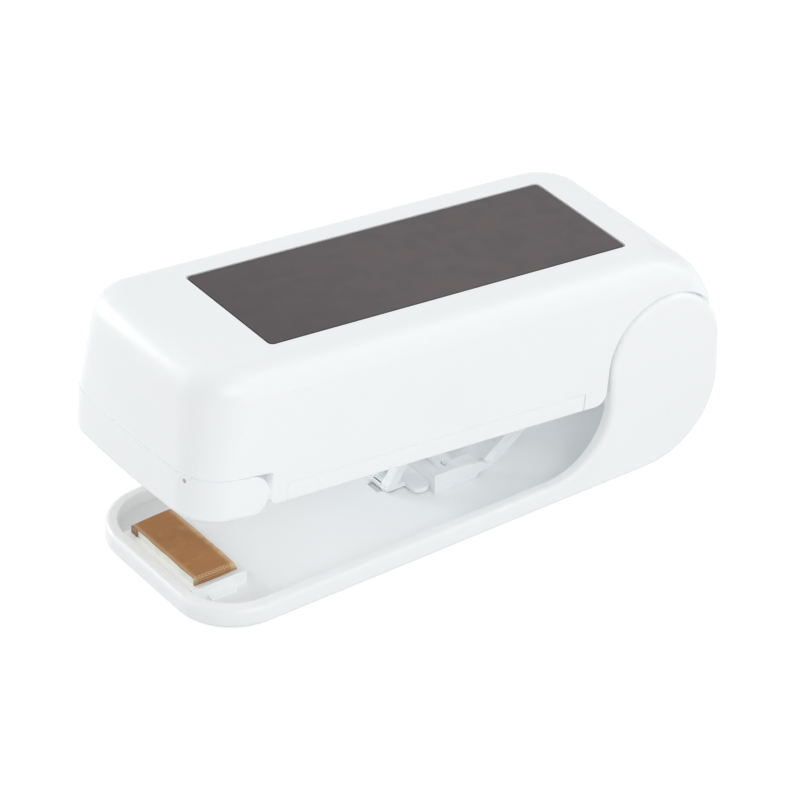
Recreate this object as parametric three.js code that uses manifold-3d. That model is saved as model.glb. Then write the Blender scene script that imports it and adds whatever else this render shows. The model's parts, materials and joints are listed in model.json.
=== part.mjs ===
// Mini bag sealer: a two-cell hand sealer whose upper jaw is hinged to a shallow base tray.
// Millimetres, +Z up. +X points to the hinge, the mouth is at -X, and Y runs across the jaws.
import * as THREE from 'three';
import { mergeVertices } from 'three/addons/utils/BufferGeometryUtils.js';
import Module from 'manifold-3d';

const wasm = await Module();
wasm.setup();

// Base tray
const baseLength = 100.8;
const baseSideMargin = 0.5;
const rimHeight = 3.7;
const floorThickness = 1.3;
const sideWall = 2.1;
const frontCornerRadius = 10.5;
const rearCornerRadius = 14.4;
const cheekRadius = 11.2;
const cheekFootRadius = 12;
const rearWallTop = 13;
const outerEdgeRound = 0.9;

// Hinge between the base and the upper jaw
const hingeHeight = 20.8;
const hingePinRadius = 1.5;
const pinSocketDepth = 1.3;
const restTilt = THREE.MathUtils.degToRad(5.4);

// Anvil at the front of the base
const pedestalLength = 12.7;
const pedestalWidth = 20.4;
const pedestalTop = 3.66;
const ledgeFront = 5.1;
const ledgeLength = 4.9;
const ledgeReach = 1.3;
const ledgeHeight = 0.9;
const padFrontInset = 3.3;
const padLength = 7.6;
const padWidth = 18.1;
const padThickness = 1.35;
const padEndRound = 0.4;
const anvilTapeThickness = 0.22;

// Return spring moulded as two bent arms on one foot
const springRibFront = 1.15;
const springRibLength = 9.15;
const springRibHeight = 3.7;
const springRibRearHeight = 2.9;
const springRibThickness = 1.4;
const springFootLength = 8.4;
const springTaper = 1.7;
const springSpread = 7.6;
const springArmThickness = 1.2;
const springArmWidth = 1.5;
const springArmSlope = THREE.MathUtils.degToRad(35.3);
const springArmReach = 19.7;
const springArmHeight = 1.45;
const springArmLead = 1.65;
const springSlotLength = 7.4;
const springBendRadius = 1.5;
const springBridgeLength = 4.4;
const springBridgeThickness = 1.2;
const springBlockWidth = 2;
const springBlockHeight = 2.9;
const springStudRadius = 0.9;
const springStudSpread = 2.4;

// Lock slider and the slot that it runs in
const lockTravel = 3;
const lockPlateLength = 7.1;
const lockPlateWidth = 5.9;
const lockPlateThickness = 1;
const lockPlateRear = 1.7;
const lockCornerRadius = 1;
const lockLugLength = 3.4;
const lockLugWidth = 12.4;
const lockLugRadius = 1.4;
const lockNeckLength = 2.6;
const lockNeckRear = -0.4;
const lockNeckWidth = 2.6;
const lockFlangeWidth = 5.6;
const lockFlangeThickness = 0.4;
const lockRecessDepth = 0.75;
const lockFootClearance = 0.12;
const lockGripCount = 2;
const lockGripWidth = 0.6;
const hookFootX = -4.35;
const hookLean = 2.3;
const hookLeanHeight = 4;
const hookThickness = 2.2;
const hookStemThickness = 1.8;
const hookTop = 14.3;
const hookBarb = 2;
const hookBarbHeight = 1;
const hookPostWidth = 1.9;
const hookPostSpacing = 4;

// Upper jaw housing, with sizes taken while its top lies level
const jawFront = -52.6;
const jawRear = 49.9;
const jawTop = 39.06;
const jawLowerEdge = 14.6;
const jawWall = 2;
const jawTopRoll = 4.6;
const jawRearRadius = 14.6;
const jawBarrelRadius = 10.7;
const jawFrontCorner = 6.2;
const jawFrontCornerHigh = 8;
const jawFrontBow = 0.9;
const jawRearCornerLow = 3;
const jawRearCornerHigh = 5;
const jawRearCornerRise = 12;
const jawFrontDraft = 0.9;
const jawFootRound = 1.2;
const jawHeelRound = 2.2;
const jawTailHeight = 29;
const cheekGap = 0.45;
const rearFloorThickness = 1.8;
const barrelTubeRadius = 2.9;
const pinClearance = 0.2;
const springSlotClearance = 0.7;

// Magnet sheet on the top
const magnetFront = -35.5;
const magnetLength = 69.6;
const magnetWidth = 24;
const magnetThickness = 0.6;
const magnetCornerRadius = 0.5;
const magnetSideGap = 0.35;

// Heater head, which rocks on two pins at its round rear end
const headPivotSetback = 9.65;
const headPivotHeight = 16.9;
const headTilt = THREE.MathUtils.degToRad(5.1);
const headEndRadius = 3.85;
const headRoll = 1.2;
const headEdgeRound = 0.3;
const headSeam = 0.2;
const headLipInset = 1.2;
const headLipThickness = 0.6;
const headLipRise = 1;
const headWall = 2;
const headFloor = 1.5;
const headInnerRear = 2;
const notchGap = 0.4;
const speckRadius = 0.45;
const speckDepth = 0.8;
const speckAcross = -15.35;
const speckDrop = 0.85;
const headPinRadius = 0.9;
const headPinLength = 5.4;
const headPinDepth = 1.4;
const headEarRadius = 1.9;
const headEarThickness = 1.6;
const headEarInset = 3.5;
const heaterWidth = 2.6;
const heaterLength = 22;
const heaterThickness = 0.25;
const heaterLegRise = 2.6;
const heaterFromPivot = -1.6;
const heaterTapeWidth = 6;
const heaterTapeLength = 26;
const heaterTapeThickness = 0.2;
const filmGap = 0.12;
const headSpringLead = 4.65;
const headSpringSpread = 6;
const headSpringRadius = 2.2;
const headSpringWire = 0.6;
const headSpringTurns = 4;
const contactWidth = 4;
const contactLength = 5;
const contactThickness = 0.4;
const contactAirGap = 0.4;

// Battery compartment
const trayFrontGap = 0.7;
const trayWall = 1.3;
const trayRoof = 1.2;
const traySideGap = 0.8;
const trayShelfHeight = 22.9;
const trayShelfThickness = 1.4;
const trayShelfFrontGap = 1.2;
const trayShelfGap = 1.9;
const trayLipLength = 3;
const trayLipHalfWidth = 11;
const trayRibThickness = 1.2;
const trayRibDrop = 4.4;
const cellRadius = 7.25;
const cellLength = 49.5;
const cellNubRadius = 2.75;
const cellNubLength = 1;
const cellEdgeRound = 0.5;
const cellSideGap = 0.45;
const cellRoofGap = 0.7;
const contactSpringLength = 5.2;
const contactSpringTurns = 3.5;
const contactSpringWire = 0.8;
const contactSpringWide = 4.6;
const contactSpringNarrow = 2.8;
const contactPlateWidth = 11;
const contactPlateHeight = 11;
const contactPlateThickness = 0.4;
const coverSetback = 2.5;
const coverLength = 58.3;
const coverBand = 2.9;
const coverPlate = 1.8;
const coverBandWidth = 1.9;
const coverEdgeRound = 0.25;
const coverCornerRadius = 1;
const coverRibHeight = 0.9;
const coverGripCount = 5;
const coverGripPitch = 1.6;
const coverGripWidth = 0.7;
const coverGripDepth = 0.4;
const coverGripLength = 14;
const coverGripStart = 3.4;
const coverFingerWidth = 4;
const coverFingerThickness = 0.8;
const coverFingerRise = 1.5;
const coverFingerSpread = 12.5;
const windowFront = -7;
const windowRear = 0.2;
const windowWidth = 7.4;

// Screws that hold the battery tray up to the housing
const screwLead = 2.45;
const screwInset = 3.2;
const screwRadius = 1.1;
const screwHeadRadius = 2.2;
const screwHeadHeight = 1.4;
const screwLength = 7;
const bossRadius = 2.7;
const bossHole = 1.35;

// Shared clearances and finish of curves
const seat = 0.3;
const runningGap = 0.2;
const overrun = 6;
const turn = 2 * Math.PI;
const quarter = Math.PI / 2;
const cornerSteps = 8;
const wallSteps = 9;
const rollSteps = 7;
const bowSteps = 6;
const curveSegments = 12;
const bevelSegments = 3;
const roundSides = 28;
const smallSides = 14;
const coilSides = 5;
const coilStepsPerTurn = 8;
const mergeTolerance = 1e-4;
const facetTolerance = 2e-3;

// Places worked out from the sizes above
const baseFront = -baseLength / 2;
const baseRear = baseLength / 2;
const cellSpread = cellRadius + cellSideGap;
const trayHalfWidth = 2 * cellSpread + trayWall;
const halfJaw = trayHalfWidth + traySideGap + jawWall;
const jawWidth = 2 * halfJaw;
const trayShelfHalfWidth = halfJaw - jawWall - trayShelfGap;
const headEarSpread = halfJaw - headWall - headEarInset;
const screwSpread = headEarSpread - screwInset;
const halfBase = halfJaw + baseSideMargin;
const cheekInner = halfBase - sideWall;
const hingeX = baseRear - cheekRadius;
const cheekFront = hingeX - cheekRadius;
const jawSideInner = cheekInner - cheekGap;
const headPivotX = jawFront + headPivotSetback;
const headSpringX = headPivotX - headSpringLead;
const screwX = headPivotX - screwLead;
const notchX = headPivotX + headEndRadius + notchGap;
const trayShelfFront = jawFront + jawWall + trayShelfFrontGap;
const trayFront = notchX + trayFrontGap;
const coverFront = trayFront + coverSetback;
const coverRear = coverFront + coverLength;
const plateTop = jawLowerEdge + coverPlate;
const cellCentreHeight = plateTop + coverRibHeight + seat + cellRadius;
const trayTop = cellCentreHeight + cellRadius + cellRoofGap + trayRoof;
const trayRear = coverRear + seat;
const springArmY = springSpread - springArmWidth / 2;

// White moulded plastic, and the other finishes
const finishes = {
  shell: { color: 0xe9edef, roughness: 0.42, metalness: 0 },
  inner: { color: 0xdfe4e5, roughness: 0.55, metalness: 0 },
  acetal: { color: 0xe3e8e4, roughness: 0.5, metalness: 0 },
  rubber: { color: 0xeceadf, roughness: 0.8, metalness: 0 },
  cloth: { color: 0x9a6a45, roughness: 0.6, metalness: 0 },
  magnet: { color: 0x5c5254, roughness: 0.7, metalness: 0 },
  steel: { color: 0xb9bcc0, roughness: 0.3, metalness: 1 },
  brass: { color: 0xc9a75a, roughness: 0.35, metalness: 1 },
  cell: { color: 0x2f3c34, roughness: 0.4, metalness: 0.2 },
};

// Turns a closed three.js geometry into a solid that can be joined and cut
function solidOf(item) {
  if (!item.isBufferGeometry) return item;
  const bare = item.clone();
  bare.deleteAttribute('normal');
  bare.deleteAttribute('uv');
  const merged = mergeVertices(bare, mergeTolerance);
  const vertProperties = new Float32Array(merged.attributes.position.array);
  const triVerts = new Uint32Array(merged.index.array);
  return new wasm.Manifold(new wasm.Mesh({ numProp: 3, vertProperties, triVerts }));
}

function join(...items) {
  return items.map(solidOf).reduce((whole, item) => whole.add(item));
}

function cut(body, ...tools) {
  return tools.map(solidOf).reduce((whole, tool) => whole.subtract(tool), solidOf(body));
}

function common(...items) {
  return items.map(solidOf).reduce((whole, item) => whole.intersect(item));
}

// Mesh of a solid, without the needless points that the cuts left on its flat faces
function geometryOf(solid) {
  const mesh = solid.asOriginal().simplify(facetTolerance).getMesh();
  const geometry = new THREE.BufferGeometry();
  geometry.setAttribute('position', new THREE.BufferAttribute(new Float32Array(mesh.vertProperties), 3));
  geometry.setIndex(new THREE.BufferAttribute(new Uint32Array(mesh.triVerts), 1));
  geometry.computeVertexNormals();
  return geometry;
}

function part(name, finish, body) {
  const mesh = new THREE.Mesh(geometryOf(solidOf(body)), new THREE.MeshStandardMaterial(finishes[finish]));
  mesh.name = name;
  return mesh;
}

// Box between two corners
function block([left, front, low], [right, back, high]) {
  const geometry = new THREE.BoxGeometry(right - left, back - front, high - low);
  return geometry.translate((left + right) / 2, (front + back) / 2, (low + high) / 2);
}

// Box that spans the width evenly about the middle plane
function middleBlock(left, right, width, low, high) {
  return block([left, -width / 2, low], [right, width / 2, high]);
}

// Cylinder across the jaws, between two Y places
function rodAcross(radius, x, height, from, to, sides = smallSides) {
  const geometry = new THREE.CylinderGeometry(radius, radius, to - from, sides);
  return geometry.translate(x, (from + to) / 2, height);
}

// Upright cylinder between two heights
function rodUp(radius, x, y, low, high, sides = smallSides) {
  const geometry = new THREE.CylinderGeometry(radius, radius, high - low, sides);
  return geometry.rotateX(quarter).translate(x, y, (low + high) / 2);
}

function extruded(shape, depth, round) {
  const bevel = {
    bevelEnabled: round > 0,
    bevelThickness: round,
    bevelSize: round,
    bevelOffset: -round,
    bevelSegments,
  };
  return new THREE.ExtrudeGeometry(shape, { depth: depth - 2 * round, curveSegments, ...bevel });
}

// Plan outline raised between two heights
function upright(shape, low, high, round = 0) {
  return extruded(shape, high - low, round).translate(0, 0, low + round);
}

// Side outline, drawn in X and Z, carried across the jaws
function across(shape, from, to, round = 0) {
  return extruded(shape, to - from, round).rotateX(quarter).translate(0, to - round, 0);
}

// Cross outline, drawn in Y and Z, carried along X
function along(shape, from, to, round = 0) {
  const frame = new THREE.Matrix4().makeBasis(
    new THREE.Vector3(0, 1, 0),
    new THREE.Vector3(0, 0, 1),
    new THREE.Vector3(1, 0, 0),
  );
  return extruded(shape, to - from, round).applyMatrix4(frame).translate(from + round, 0, 0);
}

function polygon(points) {
  return new THREE.Shape(points.map(([a, b]) => new THREE.Vector2(a, b)));
}

// Rectangle with its own corner radius at the front and at the rear
function roundedPlan(front, rear, halfWidth, frontRadius, rearRadius) {
  const shape = new THREE.Shape();
  shape.moveTo(front + frontRadius, -halfWidth);
  shape.lineTo(rear - rearRadius, -halfWidth);
  if (rearRadius > 0) shape.absarc(rear - rearRadius, rearRadius - halfWidth, rearRadius, -quarter, 0);
  shape.lineTo(rear, halfWidth - rearRadius);
  if (rearRadius > 0) shape.absarc(rear - rearRadius, halfWidth - rearRadius, rearRadius, 0, quarter);
  shape.lineTo(front + frontRadius, halfWidth);
  if (frontRadius > 0) {
    shape.absarc(front + frontRadius, halfWidth - frontRadius, frontRadius, quarter, Math.PI);
    shape.lineTo(front, frontRadius - halfWidth);
    shape.absarc(front + frontRadius, frontRadius - halfWidth, frontRadius, Math.PI, Math.PI + quarter);
  } else {
    shape.lineTo(front, halfWidth);
  }
  return shape;
}

// Waste left outside a rounded lower corner, as a side outline
function cornerWaste(x, height, radius, inward) {
  const shape = new THREE.Shape();
  const centreX = x + inward * radius;
  shape.moveTo(x - inward * radius, height - radius);
  shape.lineTo(centreX, height - radius);
  shape.lineTo(centreX, height);
  for (let step = 1; step <= cornerSteps; step += 1) {
    const angle = quarter * (step / cornerSteps);
    const outward = radius * Math.sin(angle);
    shape.lineTo(centreX - inward * outward, height + radius * (1 - Math.cos(angle)));
  }
  shape.lineTo(x - inward * radius, height + radius);
  return shape;
}

// Turns a geometry about a cross axis at X and height
function turnedAbout(geometry, x, height, angle) {
  return geometry.translate(-x, 0, -height).rotateY(angle).translate(x, 0, height);
}

// One level of the jaw's outer form, or of the form a wall further in
function jawRing(height, inset) {
  const top = jawTop - inset;
  const roll = jawTopRoll - inset;
  const rollStart = top - roll;
  const intoRoll = Math.max(0, height - rollStart);
  const drawnIn = intoRoll > 0 ? roll - Math.sqrt(Math.max(0, roll ** 2 - intoRoll ** 2)) : 0;
  const seamHeight = headPivotHeight + headEndRadius;
  const draftShare = THREE.MathUtils.clamp((height - seamHeight) / (rollStart - seamHeight), 0, 1);
  const riseStart = jawTop - jawRearRadius;
  const rise = THREE.MathUtils.smoothstep(height, riseStart, riseStart + jawRearCornerRise);
  const rearRadius = THREE.MathUtils.lerp(jawRearCornerLow, jawRearCornerHigh, rise) - inset / 2;
  const frontRadius = THREE.MathUtils.lerp(jawFrontCorner, jawFrontCornerHigh, draftShare) - inset - drawnIn;
  const halfWidth = halfJaw - inset - drawnIn;
  return {
    front: jawFront + inset + drawnIn + jawFrontDraft * draftShare,
    rear: rearOfJaw(height, inset),
    halfWidth,
    frontRadius,
    rearRadius: Math.min(rearRadius, halfWidth),
    height,
  };
}

// The jaw's rear follows a large arc from the top down to the barrel round the hinge
function rearOfJaw(height, inset) {
  const arcRadius = jawRearRadius - inset;
  const arcHeight = jawTop - jawRearRadius;
  const arcRise = THREE.MathUtils.clamp(height - arcHeight, -arcRadius, arcRadius);
  const arcX = jawRear - jawRearRadius + Math.sqrt(arcRadius ** 2 - arcRise ** 2);
  const barrel = jawBarrelRadius - inset;
  const drop = THREE.MathUtils.clamp(height - hingeHeight, -barrel, barrel);
  const barrelX = hingeX + Math.sqrt(barrel ** 2 - drop ** 2);
  return height < hingeHeight ? barrelX : Math.max(arcX, Math.min(barrelX, jawRear - inset));
}

// Points of one level, with the front face bowed forward in its middle
function ringPoints({ front, rear, halfWidth, frontRadius, rearRadius, height }) {
  const corners = [
    [rear - rearRadius, rearRadius - halfWidth, rearRadius, -quarter],
    [rear - rearRadius, halfWidth - rearRadius, rearRadius, 0],
    [front + frontRadius, halfWidth - frontRadius, frontRadius, quarter],
    [front + frontRadius, frontRadius - halfWidth, frontRadius, Math.PI],
  ];
  const points = [];
  for (const [x, y, radius, start] of corners) {
    for (let step = 0; step <= cornerSteps; step += 1) {
      const angle = start + quarter * (step / cornerSteps);
      points.push(new THREE.Vector3(x + radius * Math.cos(angle), y + radius * Math.sin(angle), height));
    }
  }
  const face = [];
  for (let step = 1; step < bowSteps; step += 1) {
    const y = (halfWidth - frontRadius) * (1 - 2 * step / bowSteps);
    face.push(new THREE.Vector3(front, y, height));
  }
  points.splice(3 * (cornerSteps + 1), 0, ...face);
  for (const point of points) {
    if (point.x < front + frontRadius) point.x -= jawFrontBow * (1 - (point.y / halfWidth) ** 2);
  }
  return points;
}

// Skins a stack of equal rings and closes both ends
function loft(rings) {
  const size = rings[0].length;
  const positions = rings.flat().flatMap((point) => point.toArray());
  const index = [];
  for (let level = 0; level + 1 < rings.length; level += 1) {
    for (let step = 0; step < size; step += 1) {
      const a = level * size + step;
      const b = level * size + (step + 1) % size;
      index.push(a, b, b + size, a, b + size, a + size);
    }
  }
  const last = (rings.length - 1) * size;
  for (let step = 1; step + 1 < size; step += 1) {
    index.push(0, step + 1, step);
    index.push(last, last + step, last + step + 1);
  }
  const geometry = new THREE.BufferGeometry();
  geometry.setAttribute('position', new THREE.Float32BufferAttribute(positions, 3));
  geometry.setIndex(index);
  return geometry;
}

// The jaw's form from a lower level up to its rolled top
function jawForm(bottom, inset) {
  const top = jawTop - inset;
  const roll = jawTopRoll - inset;
  const rings = [];
  for (let step = 0; step <= wallSteps; step += 1) {
    rings.push(ringPoints(jawRing(bottom + (top - roll - bottom) * (step / wallSteps), inset)));
  }
  for (let step = 1; step <= rollSteps; step += 1) {
    rings.push(ringPoints(jawRing(top - roll + roll * Math.sin(quarter * (step / rollSteps)), inset)));
  }
  return loft(rings);
}

// Outline of the cheeks, the rear corner and the rim that runs forward from them
function cheekOutline(start) {
  const footX = cheekFront - cheekFootRadius;
  const shape = new THREE.Shape();
  shape.moveTo(start, 0);
  shape.lineTo(baseRear - rearCornerRadius, 0);
  shape.absarc(baseRear - rearCornerRadius, rearCornerRadius, rearCornerRadius, -quarter, 0);
  shape.lineTo(baseRear, hingeHeight);
  shape.absarc(hingeX, hingeHeight, cheekRadius, 0, Math.PI);
  shape.lineTo(cheekFront, rimHeight + cheekFootRadius);
  shape.absarc(footX, rimHeight + cheekFootRadius, cheekFootRadius, 0, -quarter, true);
  shape.lineTo(start, rimHeight);
  return shape;
}

// Side outline of the space inside the base, open above the rear wall
function trayCavityOutline() {
  const inner = rearCornerRadius - floorThickness;
  const ceiling = hingeHeight + cheekRadius + overrun;
  const shape = new THREE.Shape();
  shape.moveTo(baseFront - overrun, floorThickness);
  shape.lineTo(baseRear - rearCornerRadius, floorThickness);
  const top = Math.asin(THREE.MathUtils.clamp((rearWallTop - rearCornerRadius) / inner, -1, 1));
  shape.absarc(baseRear - rearCornerRadius, rearCornerRadius, inner, -quarter, top);
  shape.lineTo(baseRear + overrun, rearWallTop);
  shape.lineTo(baseRear + overrun, ceiling);
  shape.lineTo(baseFront - overrun, ceiling);
  return shape;
}

// Low sloped ledge between a side of the pedestal and the floor
function pedestalLedge(side) {
  const wallY = side * (pedestalWidth / 2 - sideWall / 2);
  const footY = side * (pedestalWidth / 2 + ledgeReach);
  const low = floorThickness / 2;
  const shape = polygon([
    [wallY, low],
    [wallY, floorThickness + ledgeHeight],
    [side * pedestalWidth / 2, floorThickness + ledgeHeight],
    [footY, floorThickness + ledgeHeight / 3],
    [footY, low],
  ]);
  const front = baseFront + ledgeFront;
  return along(shape, front, front + ledgeLength);
}

function baseTray() {
  const tubStart = cheekFront - cheekFootRadius - frontCornerRadius;
  const tubRear = baseRear - rearCornerRadius - outerEdgeRound;
  const tub = upright(
    roundedPlan(baseFront, tubRear, halfBase, frontCornerRadius, 0),
    0,
    rimHeight,
    outerEdgeRound,
  );
  const cheeks = across(cheekOutline(tubStart), -halfBase, halfBase, outerEdgeRound);
  const cavityPlan = roundedPlan(
    baseFront + sideWall,
    baseRear + overrun,
    cheekInner,
    frontCornerRadius - sideWall,
    0,
  );
  const cavity = common(
    upright(cavityPlan, 0, hingeHeight + cheekRadius + overrun),
    across(trayCavityOutline(), -halfBase, halfBase),
  );
  const pedestal = middleBlock(
    baseFront + sideWall / 2,
    baseFront + pedestalLength,
    pedestalWidth,
    floorThickness / 2,
    pedestalTop,
  );
  const ledges = [pedestalLedge(-1), pedestalLedge(1)];
  const studs = [-1, 1].map((side) => rodUp(
    springStudRadius,
    springRibFront + springRibLength - springBridgeLength * 2 / 3,
    side * springStudSpread,
    floorThickness / 2,
    floorThickness + springBridgeThickness + springStudRadius / 2,
  ));
  const socketReach = cheekInner + pinSocketDepth;
  const pinSockets = rodAcross(hingePinRadius + pinClearance, hingeX, hingeHeight, -socketReach, socketReach);
  const slotRear = lockNeckRear + runningGap;
  const slotFront = slotRear - lockNeckLength - lockTravel - 2 * runningGap;
  const slotWidth = lockNeckWidth + 2 * runningGap;
  const slot = middleBlock(slotFront, slotRear, slotWidth, -overrun, floorThickness + seat);
  const flangeMargin = (lockFlangeWidth - lockNeckWidth) / 2 + runningGap;
  const recess = middleBlock(
    slotFront - flangeMargin,
    slotRear + flangeMargin,
    lockFlangeWidth + 2 * runningGap,
    -overrun,
    lockRecessDepth,
  );
  return cut(join(cut(join(tub, cheeks), cavity), pedestal, ...ledges, ...studs), pinSockets, slot, recess);
}

// Cross outline of the pad, or of the tape round it, with both ends rounded over
function padOutline(halfWidth, top, low) {
  const round = padEndRound + halfWidth - padWidth / 2;
  const shape = new THREE.Shape();
  shape.moveTo(-halfWidth, low);
  shape.lineTo(halfWidth, low);
  shape.lineTo(halfWidth, top - round);
  shape.absarc(halfWidth - round, top - round, round, 0, quarter);
  shape.lineTo(round - halfWidth, top);
  shape.absarc(round - halfWidth, top - round, round, quarter, Math.PI);
  return shape;
}

function anvilPad() {
  const front = baseFront + padFrontInset;
  return along(padOutline(padWidth / 2, pedestalTop + padThickness, pedestalTop), front, front + padLength);
}

// Cloth tape over the pad's top and down both its ends
function anvilTape() {
  const front = baseFront + padFrontInset;
  const halfWidth = padWidth / 2 + anvilTapeThickness;
  const top = pedestalTop + padThickness;
  const wrap = along(padOutline(halfWidth, top + anvilTapeThickness, pedestalTop), front, front + padLength);
  const coreOutline = padOutline(padWidth / 2, top, pedestalTop - overrun);
  const core = along(coreOutline, front - overrun, front + padLength + overrun);
  return cut(wrap, core);
}

// Centre line of a spring arm: along the rib, round the bend and up to the tip
function springArmPath(side) {
  const y = side * springArmY;
  const rear = springRibFront + springRibLength;
  const start = rear + springArmLead;
  const low = floorThickness + springArmHeight;
  const tip = rear + springArmReach;
  const bendEnd = start + springBendRadius * Math.sin(springArmSlope);
  const bendRise = springBendRadius * (1 - Math.cos(springArmSlope));
  const path = new THREE.CurvePath();
  path.add(new THREE.LineCurve3(
    new THREE.Vector3(rear - springArmThickness, y, low),
    new THREE.Vector3(start, y, low),
  ));
  path.add(new THREE.QuadraticBezierCurve3(
    new THREE.Vector3(start, y, low),
    new THREE.Vector3(start + springBendRadius * Math.tan(springArmSlope / 2), y, low),
    new THREE.Vector3(bendEnd, y, low + bendRise),
  ));
  path.add(new THREE.LineCurve3(
    new THREE.Vector3(bendEnd, y, low + bendRise),
    new THREE.Vector3(tip, y, low + bendRise + (tip - bendEnd) * Math.tan(springArmSlope)),
  ));
  return path;
}

// Side outline of one arm, offset to both sides of its centre line
function springArm(side) {
  const centre = springArmPath(side).getPoints(cornerSteps);
  const upper = [];
  const lower = [];
  centre.forEach((point, index) => {
    const before = centre[Math.max(index - 1, 0)];
    const after = centre[Math.min(index + 1, centre.length - 1)];
    const way = after.clone().sub(before).normalize();
    upper.push([point.x - way.z * springArmThickness / 2, point.z + way.x * springArmThickness / 2]);
    lower.push([point.x + way.z * springArmThickness / 2, point.z - way.x * springArmThickness / 2]);
  });
  const y = side * springArmY;
  return across(polygon([...lower, ...upper.reverse()]), y - springArmWidth / 2, y + springArmWidth / 2);
}

// Rib that stands on the floor, lifts off it near the rear and tapers into its arm
function springRib(side) {
  const rear = springRibFront + springRibLength;
  const foot = springRibFront + springFootLength;
  const armLow = floorThickness + springArmHeight - springArmThickness / 2;
  const shape = polygon([
    [springRibFront, floorThickness],
    [foot, floorThickness],
    [rear, armLow],
    [rear + springTaper, armLow],
    [rear + springTaper, armLow + springArmThickness],
    [rear, floorThickness + springRibRearHeight],
    [springRibFront + springRibLength / 2, floorThickness + springRibHeight],
    [springRibFront, floorThickness + springRibHeight],
  ]);
  const outer = side * springSpread;
  const inner = side * (springSpread - springRibThickness);
  return across(shape, Math.min(outer, inner), Math.max(outer, inner));
}

function returnSpring() {
  const rear = springRibFront + springRibLength;
  const bridgeFront = rear - springBridgeLength;
  const pieces = [];
  for (const side of [-1, 1]) {
    const outer = side * (springSpread - springRibThickness / 2);
    const inner = side * (springSpread - springRibThickness - springBlockWidth);
    pieces.push(springRib(side), springArm(side));
    pieces.push(block(
      [bridgeFront, Math.min(outer, inner), floorThickness],
      [rear, Math.max(outer, inner), floorThickness + springBlockHeight],
    ));
  }
  const bridge = middleBlock(
    bridgeFront,
    rear - springRibThickness,
    2 * springSpread - 2 * springRibThickness,
    floorThickness,
    floorThickness + springBridgeThickness,
  );
  const holes = [-1, 1].map((side) => rodUp(
    springStudRadius + runningGap,
    bridgeFront + springBridgeLength / 3,
    side * springStudSpread,
    0,
    floorThickness + springBridgeThickness + overrun,
  ));
  return cut(join(...pieces, bridge), ...holes);
}

// Forked hook: each post leans back, then stands up to a barb that points forward
function hookPost(side) {
  const low = floorThickness + runningGap + lockPlateThickness / 2;
  const knee = hookLeanHeight + floorThickness;
  const stem = hookFootX + hookLean;
  const shape = polygon([
    [hookFootX - hookThickness / 2, low],
    [hookFootX + hookThickness / 2, low],
    [stem + hookStemThickness / 2, knee],
    [stem + hookStemThickness / 2, hookTop],
    [stem - hookStemThickness / 2, hookTop],
    [stem - hookStemThickness / 2 - hookBarb, hookTop - hookBarbHeight / 2],
    [stem - hookStemThickness / 2 - hookBarb, hookTop - hookBarbHeight],
    [stem - hookStemThickness / 2, hookTop - hookBarbHeight],
    [stem - hookStemThickness / 2, knee],
  ]);
  const y = side * hookPostSpacing / 2;
  return across(shape, y - hookPostWidth / 2, y + hookPostWidth / 2);
}

function lockSlider() {
  const low = floorThickness + runningGap;
  const plateShape = roundedPlan(
    lockPlateRear - lockPlateLength,
    lockPlateRear,
    lockPlateWidth / 2,
    lockCornerRadius,
    lockCornerRadius,
  );
  const plate = upright(plateShape, low, low + lockPlateThickness);
  const lugShape = roundedPlan(
    lockPlateRear - lockLugLength,
    lockPlateRear,
    lockLugWidth / 2,
    lockLugRadius,
    lockLugRadius,
  );
  const lugs = upright(lugShape, low, low + lockPlateThickness);
  const rear = lockNeckRear;
  const neckTop = low + lockPlateThickness / 2;
  const neck = middleBlock(rear - lockNeckLength, rear, lockNeckWidth, lockFootClearance, neckTop);
  const margin = (lockFlangeWidth - lockNeckWidth) / 2;
  const flange = middleBlock(
    rear - lockNeckLength - margin,
    rear + margin,
    lockFlangeWidth,
    lockFootClearance,
    lockFootClearance + lockFlangeThickness,
  );
  const head = middleBlock(
    hookFootX + hookLean - hookStemThickness / 2,
    hookFootX + hookLean + hookStemThickness / 2,
    hookPostSpacing,
    hookTop - hookBarbHeight,
    hookTop,
  );
  const grips = [];
  const gripPitch = lockNeckLength / lockGripCount;
  for (let index = 0; index < lockGripCount; index += 1) {
    const x = rear - gripPitch * (index + 1 / 2);
    grips.push(middleBlock(
      x - lockGripWidth / 2,
      x + lockGripWidth / 2,
      lockNeckWidth,
      -overrun,
      lockFootClearance + lockFlangeThickness / 2,
    ));
  }
  return cut(join(plate, lugs, neck, flange, hookPost(-1), hookPost(1), head), ...grips);
}

function hingePin() {
  const reach = cheekInner + pinSocketDepth - runningGap;
  return rodAcross(hingePinRadius, hingeX, hingeHeight, -reach, reach, roundSides);
}

// Space that the base's cheek and the way below it take from the jaw's sides
function cheekSpace(side) {
  const radius = cheekRadius + cheekGap;
  const shape = new THREE.Shape();
  shape.moveTo(hingeX - radius, 0);
  shape.lineTo(baseRear + overrun, 0);
  shape.lineTo(baseRear + overrun, jawTailHeight);
  const reach = Math.sqrt(Math.max(0, radius ** 2 - (jawTailHeight - hingeHeight) ** 2));
  const tail = Math.atan2(jawTailHeight - hingeHeight, reach);
  shape.absarc(hingeX, hingeHeight, radius, tail, Math.PI);
  const inner = side * jawSideInner;
  const outer = side * (halfJaw + overrun);
  return across(shape, Math.min(inner, outer), Math.max(inner, outer));
}

// Slab in front of the notch, tilted with the head, between two heights over its upper edge
function seamSlab(low, high) {
  const edge = headPivotHeight + headEndRadius;
  const slab = block(
    [jawFront - 2 * overrun, -halfJaw - overrun, edge + low],
    [notchX - headLipThickness, halfJaw + overrun, edge + high],
  );
  return turnedAbout(slab, headPivotX, headPivotHeight, headTilt);
}

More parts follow.
